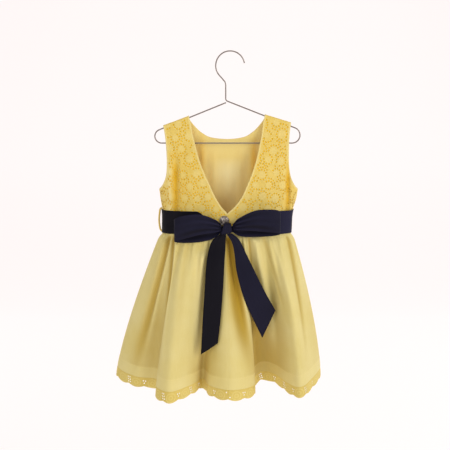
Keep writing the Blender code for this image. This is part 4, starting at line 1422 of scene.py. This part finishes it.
def hanger_route():
    """The hanger's one wire, walked from the tip of the hook bend by bend."""
    place = np.array([HOOK_RADIUS * cos(radians(TIP_ANGLE)),
                      WIRE_RADIUS - HOOK_RADIUS + HOOK_RADIUS * sin(radians(TIP_ANGLE))])
    heading = radians(TIP_ANGLE + 90)
    route = [place]
    for bend in WIRE_BENDS:
        start = place
        steps = int(bend.straight / STRAIGHT_STEP) + 1 if bend.straight else 0
        for step in range(1, steps + 1):
            place = start + np.array([cos(heading), sin(heading)]) * bend.straight * step / steps
            route.append(place)
        side = 1 if bend.turn > 0 else -1
        hub = place + bend.radius * side * np.array([-sin(heading), cos(heading)])
        steps = int(abs(bend.turn) / BEND_STEP) + 1 if bend.turn else 0
        for step in range(1, steps + 1):
            turned = heading + radians(bend.turn) * step / steps
            place = hub + bend.radius * side * np.array([sin(turned), -cos(turned)])
            route.append(place)
        heading += radians(bend.turn)
    return np.array([(x, 0.0, z) for x, z in route])


# Node trees

def fill(tree, entry, value):
    """One socket, given a value or another node's output."""
    if isinstance(value, bpy.types.NodeSocket):
        tree.links.new(value, entry)
    else:
        entry.default_value = value


def fill_sockets(tree, node, **sockets):
    """A node's sockets by their names, each given a value or another node's output."""
    for name, value in sockets.items():
        fill(tree, node.inputs[name.replace("_", " ")], value)


def add_node(tree, kind, settings=None, **sockets):
    """One node with its settings and filled sockets."""
    made = tree.nodes.new(kind)
    for name, value in (settings or {}).items():
        setattr(made, name, value)
    fill_sockets(tree, made, **sockets)
    return made


def calculated(tree, operation, first, second):
    """Two values brought together by one operation."""
    made = add_node(tree, "ShaderNodeMath", {"operation": operation})
    fill(tree, made.inputs[0], first)
    fill(tree, made.inputs[1], second)
    return made.outputs[0]


# Stitches and eyelet rings, set out on points by Geometry Nodes

def point_vector(tree, name):
    """A direction kept on each point."""
    kept = add_node(tree, "GeometryNodeInputNamedAttribute", {"data_type": "FLOAT_VECTOR"}, Name=name)
    return kept.outputs["Attribute"]


def thread_tree(name, size_name, size, thread, seed, shape):
    """A tree that sets one small threaded shape on each point, turned with the cloth."""
    tree = bpy.data.node_groups.new(name, "GeometryNodeTree")
    tree.is_modifier = True
    for label, kind, default in (("Geometry", "Geometry", None), (size_name, "Float", size),
                                 ("Thread", "Float", thread), ("Seed", "Int", seed),
                                 ("Material", "Material", None)):
        socket = tree.interface.new_socket(label, in_out="INPUT", socket_type="NodeSocket" + kind)
        if default is not None:
            socket.default_value = default
    tree.interface.new_socket("Geometry", in_out="OUTPUT", socket_type="NodeSocketGeometry")
    entry = tree.nodes.new("NodeGroupInput").outputs
    up = add_node(tree, "FunctionNodeAlignRotationToVector", {"axis": "Z"},
                  Vector=point_vector(tree, "facing"))
    along = add_node(tree, "FunctionNodeAlignRotationToVector", {"axis": "X", "pivot_axis": "Z"},
                     Rotation=up.outputs["Rotation"], Vector=point_vector(tree, "heading"))
    vary = add_node(tree, "FunctionNodeRandomValue", Seed=entry["Seed"])
    vary.inputs[2].default_value, vary.inputs[3].default_value = THREAD_SCALES
    spread = add_node(tree, "GeometryNodeInstanceOnPoints", Points=entry["Geometry"],
                      Instance=shape(tree, entry), Rotation=along.outputs["Rotation"], Scale=vary.outputs[1])
    solid = add_node(tree, "GeometryNodeRealizeInstances", Geometry=spread.outputs["Instances"])
    finish = add_node(tree, "GeometryNodeSetMaterial", Geometry=solid.outputs["Geometry"],
                      Material=entry["Material"])
    add_node(tree, "NodeGroupOutput", Geometry=finish.outputs["Geometry"])
    return tree


def stitch_shape(tree, entry):
    """A short thread, rounded at its ends."""
    bead = add_node(tree, "GeometryNodeMeshUVSphere", Segments=6, Rings=4, Radius=0.5)
    size = add_node(tree, "ShaderNodeCombineXYZ", X=entry["Stitch Length"], Y=entry["Thread"],
                    Z=entry["Thread"])
    stretch = add_node(tree, "GeometryNodeTransform", Geometry=bead.outputs["Mesh"],
                       Scale=size.outputs["Vector"])
    return stretch.outputs["Geometry"]


def ring_shape(tree, entry):
    """A ring of thread round an eyelet."""
    half = calculated(tree, "MULTIPLY", entry["Thread"], 0.5)
    circle = add_node(tree, "GeometryNodeCurvePrimitiveCircle", Resolution=9, Radius=entry["Ring Radius"])
    thread = add_node(tree, "GeometryNodeCurvePrimitiveCircle", Resolution=4, Radius=half)
    ring = add_node(tree, "GeometryNodeCurveToMesh", Curve=circle.outputs["Curve"],
                    Profile_Curve=thread.outputs["Curve"])
    return ring.outputs["Mesh"]


def stitch_tree():
    """Stitches along a seam."""
    return thread_tree("Stitch row", "Stitch Length", STITCH_LENGTH, STITCH_THREAD, STITCH_SEED,
                       stitch_shape)


def ring_tree():
    """Rings of thread round eyelets."""
    return thread_tree("Eyelet rings", "Ring Radius", EYELET_RADIUS, RING_THREAD, RING_SEED, ring_shape)


def set_threads(name, tree, placed, material, sizes):
    """Threads on points with their directions and headings, turned into one plain mesh."""
    points, facing, heading = placed
    mesh = bpy.data.meshes.new(name + "_points")
    mesh.from_pydata(np.asarray(points).tolist(), [], [])
    for label, values in (("facing", facing), ("heading", heading)):
        attribute = mesh.attributes.new(label, "FLOAT_VECTOR", "POINT")
        attribute.data.foreach_set("vector", np.asarray(values, dtype=np.float32).ravel())
    holder = bpy.data.objects.new(name, mesh)
    bpy.context.scene.collection.objects.link(holder)
    spread = holder.modifiers.new("Threads", "NODES")
    spread.node_group = tree
    inputs = {"Material": material, **sizes}
    for item in tree.interface.items_tree:
        if item.in_out == "INPUT" and item.name in inputs:
            spread[item.identifier] = inputs[item.name]
    graph = bpy.context.evaluated_depsgraph_get()
    made = bpy.data.meshes.new_from_object(holder.evaluated_get(graph))
    holder.modifiers.remove(spread)
    made.name = name
    made.shade_smooth()
    holder.data = made
    bpy.data.meshes.remove(mesh)
    return holder


def stitch_line(function, flat, raised):
    """Points, directions and headings of stitches along one flat line."""
    line = spaced(flat, STITCH_LENGTH + STITCH_GAP)
    here = function(line)
    heading = np.gradient(here, axis=0)
    normals, _ = cloth_normals(function, line)
    normals /= np.linalg.norm(normals, axis=1)[:, None]
    return here + normals * raised, normals, heading


# Finishes

def linear(colour):
    """A colour given as it shows on a screen, as light."""
    share = np.array(colour) / 255
    return (*np.where(share <= 0.04045, share / 12.92, ((share + 0.055) / 1.055)**2.4), 1.0)


def new_finish(name):
    """An empty finish with its shader and the places that its patterns are laid out on."""
    material = bpy.data.materials.new(name)
    material.use_nodes = True
    tree = material.node_tree
    return material, tree, tree.nodes["Principled BSDF"], add_node(tree, "ShaderNodeTexCoord").outputs


def noise(tree, place, **sockets):
    """Drifting noise between 0 and 1."""
    return add_node(tree, "ShaderNodeTexNoise", Vector=place, **sockets).outputs["Fac"]


def drawn_out(tree, place, scale):
    """A place scaled so that a pattern on it runs long one way."""
    return add_node(tree, "ShaderNodeMapping", Vector=place, Scale=scale).outputs["Vector"]


def ranged(tree, value, low, high, **sockets):
    """A value from 0 to 1, brought between two others."""
    made = add_node(tree, "ShaderNodeMapRange", Value=value, To_Min=low, To_Max=high, **sockets)
    return made.outputs["Result"]


def mixed(tree, factor, first, second, kind="RGBA", blend="MIX"):
    """Two colours or values mixed by a factor; each is a colour or another node's output."""
    made = add_node(tree, "ShaderNodeMix", {"data_type": kind, "blend_type": blend}, Factor=factor)
    entries, output = ((6, 7), 2) if kind == "RGBA" else ((2, 3), 0)
    for entry, value in zip(entries, (first, second)):
        fill(tree, made.inputs[entry], linear(value) if isinstance(value, tuple) else value)
    return made.outputs[output]


def raise_relief(tree, shader, height, strength, distance):
    """Fine relief on a finish."""
    raised = add_node(tree, "ShaderNodeBump", Strength=strength, Distance=distance, Height=height)
    tree.links.new(raised.outputs["Normal"], shader.inputs["Normal"])


def weave_height(tree, lay, thread):
    """Crossing threads, as a height between 0 and 1."""
    across, along = (
        add_node(tree, "ShaderNodeTexWave", {"wave_type": "BANDS", "bands_direction": direction},
                 Vector=lay, Scale=0.314 / thread, Distortion=0.6, Detail=1.0).outputs["Fac"]
        for direction in ("X", "Y"))
    return calculated(tree, "MULTIPLY", across, along)


def cloth_finish(name, colours, thread, depth, relief, roughness, sheen, specular, crochet=0.0):
    """Woven cloth mottled in a light and a deeper shade, pale where its tone is high and rich where it is
    low.
    """
    light, deeper_mottle_and_painted_light, pale, rich = colours
    material, tree, shader, place = new_finish(name)
    clouds = noise(tree, place["Object"], Scale=14.0, Detail=4.0, Roughness=0.55)
    slubs = noise(tree, drawn_out(tree, place["UV"], SLUB_SCALE), Scale=1.0, Detail=3.0, Roughness=0.6)
    patchy = mixed(tree, 0.35, clouds, slubs, kind="FLOAT")
    ground = mixed(tree, ranged(tree, patchy, 0.0, 1.0, From_Min=0.36, From_Max=0.64), light, deeper_mottle_and_painted_light)
    # The tone carries painted light, shade in creases, folds and troughs and highlights on ridges, pleats
    # and the sash's right side, and on the lace and border also the embroidery's own pattern.
    tone = add_node(tree, "ShaderNodeAttribute", {"attribute_name": "tone"}).outputs["Fac"]
    raised = mixed(tree, tone, ground, pale)
    toned = mixed(tree, calculated(tree, "MULTIPLY", tone, -1.0), raised, rich)
    weave = weave_height(tree, place["UV"], thread)
    woven = mixed(tree, depth, toned, ranged(tree, weave, 0.72, 1.06), blend="MULTIPLY")
    height = weave
    if crochet:
        knots = add_node(tree, "ShaderNodeTexVoronoi", {"feature": "F1"}, Vector=place["UV"],
                         Scale=crochet, Randomness=0.8)
        height = calculated(tree, "ADD", weave, knots.outputs["Distance"])
    raise_relief(tree, shader, height, 0.6, relief)
    fill_sockets(tree, shader, Base_Color=woven, Roughness=ranged(tree, slubs, *roughness),
                 Sheen_Weight=sheen, Sheen_Roughness=0.5, Specular_IOR_Level=specular)
    return material


def lace_finish():
    """Eyelet cotton with lighter embroidery; its pale and rich colours also show the creases' painted light
    and shade.
    """
    return cloth_finish("eyelet_cotton", ((244, 217, 124), (239, 208, 106), (249, 231, 162), (234, 186, 40)),
                        0.0008, 0.35, 0.00030, (0.82, 0.95), 0.08, 0.20, crochet=520.0)


def trim_finish():
    """The border's cotton, with satin-stitched rings and edge."""
    return cloth_finish("border_cotton", ((238, 216, 128), (231, 206, 110), (246, 232, 162), (206, 174, 72)),
                        0.0007, 0.30, 0.00025, (0.78, 0.92), 0.08, 0.20, crochet=600.0)


def lining_finish():
    """Plain cotton under the lace, a deeper yellow."""
    return cloth_finish("lining_cotton", ((255, 212, 48), (252, 205, 42), (253, 218, 84), (244, 192, 36)),
                        0.0005, 0.20, 0.00012, (0.85, 0.96), 0.05, 0.15)


def neck_lining_finish():
    """The front lining that shows inside the V, with pale and rich colours for its painted light and shade.
    """
    return cloth_finish("neck_lining_cotton",
                        ((248, 226, 146), (244, 219, 132), (255, 240, 176), (236, 188, 60)),
                        0.0005, 0.20, 0.00012, (0.85, 0.96), 0.08, 0.20)


def skirt_finish():
    """Fine plain cotton of the skirt, whose rich gold is the painted shade of its folds."""
    return cloth_finish("plain_cotton", ((232, 217, 149), (227, 209, 132), (241, 226, 158), (184, 150, 44)),
                        0.0005, 0.20, 0.00012, (0.82, 0.95), 0.08, 0.20)


def satin_finish():
    """Navy ribbon with fine cross ribs; its pale and rich colours are painted highlight and painted shade.
    """
    return cloth_finish("navy_satin", ((26, 25, 46), (21, 20, 38), (36, 35, 60), (9, 6, 11)),
                        0.0006, 0.25, 0.00010, (0.50, 0.62), 0.02, 0.11)


def thread_finish(name, colour, shade):
    """Spun thread, twisted along its length."""
    material, tree, shader, place = new_finish(name)
    fibres = noise(tree, place["Object"], Scale=1400.0, Detail=2.0)
    raise_relief(tree, shader, fibres, 0.5, 0.0001)
    fill_sockets(tree, shader, Base_Color=mixed(tree, fibres, colour, shade), Roughness=0.7,
                 Sheen_Weight=0.2)
    return material


def wire_finish():
    """Drawn steel wire with faint lengthwise scratches."""
    material, tree, shader, place = new_finish("hanger_steel")
    scratches = noise(tree, drawn_out(tree, place["UV"], SCRATCH_SCALE), Scale=1.0, Detail=3.0)
    raise_relief(tree, shader, scratches, 0.2, 0.00003)
    fill_sockets(tree, shader, Base_Color=mixed(tree, scratches, (160, 151, 144), (120, 111, 105)),
                 Roughness=ranged(tree, scratches, 0.24, 0.42), Metallic=0.70)
    return material


def shell_finish():
    """Grey shell with drifting pearly bands."""
    material, tree, shader, place = new_finish("button_shell")
    drift = noise(tree, place["Object"], Scale=160.0, Detail=3.0, Distortion=1.2)
    bands = add_node(tree, "ShaderNodeValToRGB", Fac=drift)
    pearl = bands.color_ramp.elements
    pearl.new(0.50)
    for band, position, colour in zip(pearl, (0.30, 0.50, 0.72), SHELL_COLOURS):
        band.position = position
        band.color = linear(colour)
    fill_sockets(tree, shader, Base_Color=bands.outputs["Color"], Roughness=ranged(tree, drift, 0.12, 0.30),
                 Metallic=0.35, Coat_Weight=0.6, Coat_Roughness=0.08)
    return material


def paper_finish():
    """Pale studio paper with a faint glow."""
    material, tree, shader, place = new_finish("studio_paper")
    grain = noise(tree, place["Object"], Scale=3.0, Detail=2.0)
    fill_sockets(tree, shader, Base_Color=mixed(tree, grain, (138, 135, 134), (134, 131, 130)),
                 Emission_Color=mixed(tree, grain, (255, 246, 245), (255, 247, 247)),
                 Emission_Strength=PAPER_GLOW, Roughness=0.95)
    return material


# Studio

FLOOR_Z = -1.15
WALL_Y = 2.90
WALL_TOP = 2.2
COVE_FRONT_Y = -4.4
COVE_HALF = 4.4
COVE_RADIUS = 0.70
COVE_STEPS = 12
PAPER_GLOW = 0.82

StudioLight = namedtuple("StudioLight", "name place size power colour")
LIGHTS = (
    StudioLight("key", (2.00, -1.85, 0.60), 1.6, 30.0, (1.0, 0.99, 0.97)),
    StudioLight("fill", (-1.05, -2.30, 0.10), 1.8, 11.8, (1.0, 0.99, 0.98)),
    StudioLight("rear right", (2.00, 1.50, 0.70), 1.1, 15.0, (1.0, 0.99, 0.97)),
    StudioLight("rear left", (-2.00, 1.60, 0.40), 1.1, 8.0, (1.0, 0.99, 0.98)),
    StudioLight("top", (0.10, -0.60, 1.60), 1.0, 5.0, (1.0, 0.99, 0.97)),
)
WORLD_STRENGTH = 0.42


def face_dress(item):
    """Turn a lamp or a camera to the middle of the dress, and put it in the scene."""
    aim = Vector(TARGET) - item.location
    item.rotation_euler = aim.to_track_quat("-Z", "Y").to_euler()
    bpy.context.scene.collection.objects.link(item)


def build_studio():
    """A pale cove and soft lights on the back and the front of the dress."""
    profile_line = [(COVE_FRONT_Y, FLOOR_Z), (WALL_Y - COVE_RADIUS, FLOOR_Z)]
    for angle in np.linspace(-pi / 2, 0, COVE_STEPS + 1)[1:]:
        profile_line.append((WALL_Y - COVE_RADIUS + COVE_RADIUS * cos(angle),
                             FLOOR_Z + COVE_RADIUS + COVE_RADIUS * sin(angle)))
    profile_line.append((WALL_Y, WALL_TOP))
    points = [(x, y, z) for y, z in profile_line for x in (COVE_HALF, -COVE_HALF)]
    cove = place_piece("studio_cove", points, grid_faces(len(profile_line), 2), paper_finish())
    for light in LIGHTS:
        data = bpy.data.lights.new(light.name, "AREA")
        data.shape = "DISK"
        data.size = light.size
        data.energy = light.power
        data.color = light.colour
        lamp = bpy.data.objects.new(light.name, data)
        lamp.location = light.place
        face_dress(lamp)
    world = bpy.data.worlds.new("studio")
    world.use_nodes = True
    sky = world.node_tree.nodes["Background"]
    sky.inputs["Color"].default_value = linear((255, 250, 247))
    sky.inputs["Strength"].default_value = WORLD_STRENGTH
    bpy.context.scene.world = world
    bpy.context.scene.view_settings.view_transform = "Standard"


def build_camera():
    """The camera, a little above the waist and looking down by nine degrees."""
    data = bpy.data.cameras.new("camera")
    data.lens = LENS
    data.sensor_width = SENSOR
    camera = bpy.data.objects.new("camera", data)
    lean = radians(VIEW_ELEVATION)
    camera.location = Vector(TARGET) + VIEW_DISTANCE * Vector((0.0, -cos(lean), sin(lean)))
    face_dress(camera)
    bpy.context.scene.camera = camera


# Assembly

def carried(piece, slot, *nodes):
    """A finished piece that rides with the hanger's body and stands for its solids."""
    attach(piece, "root")
    if nodes:
        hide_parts(*nodes)
    return piece


def ring_eyelets(name, tree, eyelets, radius, thread):
    """Rings of thread round the eyelets of one piece."""
    sizes = {"Ring Radius": radius * RING_SHARE, "Thread": RING_THREAD}
    return carried(set_threads(name, tree, eyelets, thread, sizes), "eyelet_cotton")


def sew(name, tree, seam, thread, slot):
    """Stitches along a seam."""
    sizes = {"Stitch Length": STITCH_LENGTH, "Thread": STITCH_THREAD}
    return carried(set_threads(name, tree, seam, thread, sizes), slot)


def dress_bodice():
    """Lace panels with their rings, and the linings behind them."""
    lace = lace_finish()
    thread = thread_finish("embroidery_thread", (246, 226, 152), (236, 212, 130))
    rings = ring_tree()
    stitches = stitch_tree()
    panels = [("back_lace_left", "bodice_back_left") + make_back_lace("back_lace_left", -1, 11, lace),
              ("back_lace_right", "bodice_back_right") + make_back_lace("back_lace_right", 1, 12, lace),
              ("front_lace", "bodice_front") + make_front_lace(13, lace)]
    for name, node_name, piece, eyelets, size, area in panels:
        carried(piece, "eyelet_cotton", node_name)
        ring = ring_eyelets(name + "_rings", rings, eyelets, EYELET_RADIUS, thread)
    for piece, width, length in make_back_linings(lining_finish()):
        carried(piece, "lining_cotton")
    piece, width, length = make_front_lining(neck_lining_finish())
    carried(piece, "lining_cotton", "bodice_front_lining")
    edges = []
    lines = half_outline(BACK_ROWS, BACK_UNDERARM, -1)
    for side in (-1, 1):
        for line, shift in ((lines["neck"], EDGE_STITCHES), (lines["armhole"], -EDGE_STITCHES)):
            run = line[3:-3] + (shift, 0.0)
            run = run[run[:, 0] > STITCHES_FROM_CENTRE] * (side, 1)
            edges.append(stitch_line(raised_edge, run, STITCH_RAISE))
    sew("neck_stitching", stitches, [np.vstack(part) for part in zip(*edges)], thread, "eyelet_cotton")
    return stitches, rings, thread


def dress_skirt(stitches, rings, thread):
    """Skirt panels with their hem stitching, and the scalloped border."""
    cotton = skirt_finish()
    border = trim_finish()
    for part, start, end in PANELS:
        piece = make_skirt_panel(part, start, end, cotton)
        carried(piece, "plain_cotton", "skirt_" + part)
        ends = np.array(((start + STITCHES_FROM_SEAM, HEM_FOLD_TOP),
                         (end - STITCHES_FROM_SEAM, HEM_FOLD_TOP)))
        run = spaced(ends * (HEM_LINE.length, 1), HEM_ROUTE_STEP)
        hem = stitch_line(around, run, HEM_STITCH_RAISE)
        together = [sew("hem_stitching_" + part, stitches, hem, thread, "plain_cotton")]
        if part == "back_right":
            run = np.array(((SEAM_STITCH_SHIFT, SEAM_STITCH_TOP),
                            (SEAM_STITCH_SHIFT, HEM_FOLD_TOP - STITCHES_FROM_SEAM)))
            seam = stitch_line(around, run, STITCH_RAISE)
            together.append(sew("back_seam_stitching", stitches, seam, thread, "plain_cotton"))
        trim, eyelets, size, area = make_trim(part, start, end, border)
        carried(trim, "eyelet_cotton", "hem_trim_" + part)
        ring = ring_eyelets("trim_rings_" + part, rings, eyelets, TRIM_EYELET_RADIUS, thread)


def dress_sash():
    """The sash, the bow with its loops, knot and tails, and the belt loops."""
    satin = satin_finish()
    wrap = sash_grid()
    # Painted light: paler towards the sash's right side, where the lamp falls, and darker towards its left.
    painted_side_light = np.clip((wrap[:, :, 0] - SASH_SHINE_FROM) / SASH_SHINE_OVER, -0.8, 0.8)
    piece, width, length = grid_piece("sash_wrap", wrap, SATIN, satin, painted_side_light.ravel())
    carried(piece, "navy_satin", "sash_band")
    for name, stations, node_name in (("loop_left", LEFT_LOOP, "bow_loop_left"),
                                      ("loop_right", RIGHT_LOOP, "bow_loop_right")):
        grid, painted_pleat_light = loop_grid(stations)
        piece, width, length = grid_piece(name, grid, SATIN, satin, painted_pleat_light.ravel())
        carried(piece, "navy_satin", node_name)
    carried(make_knot(satin), "navy_satin", "bow_knot")
    columns = skirt_back_columns()
    # The left tail's tone of -0.8 is painted shade; the right tail keeps its plain colour.
    for name, cuts, node_name, swing, tone in (("tail_left", LEFT_TAIL, "bow_tail_left", 0.15, -0.8),
                                               ("tail_right", RIGHT_TAIL, "bow_tail_right", 0.40, 0.0)):
        piece, width, length = grid_piece(name, tail_grid(cuts, columns, swing), SATIN, satin, tone)
        carried(piece, "navy_satin", node_name)
    cord = thread_finish("belt_loop_cotton", (236, 208, 118), (218, 184, 88))
    for loop in BELT_LOOPS:
        piece = tube_piece(loop.name + "_cord", belt_loop_route(loop), loop.radius, CORD_SIDES, cord)
        carried(piece, "plain_cotton", loop.name)


def main():
    """The whole dress, its hanger and the studio."""
    build_camera()
    build_studio()
    wire = tube_piece("bent_wire", hanger_route(), WIRE_RADIUS, WIRE_SIDES, wire_finish())
    carried(wire, "hanger_wire", "hanger_wire")
    stitches, rings, thread = dress_bodice()
    dress_skirt(stitches, rings, thread)
    dress_sash()
    carried(make_button(shell_finish()), "button_shell", "button")


main()
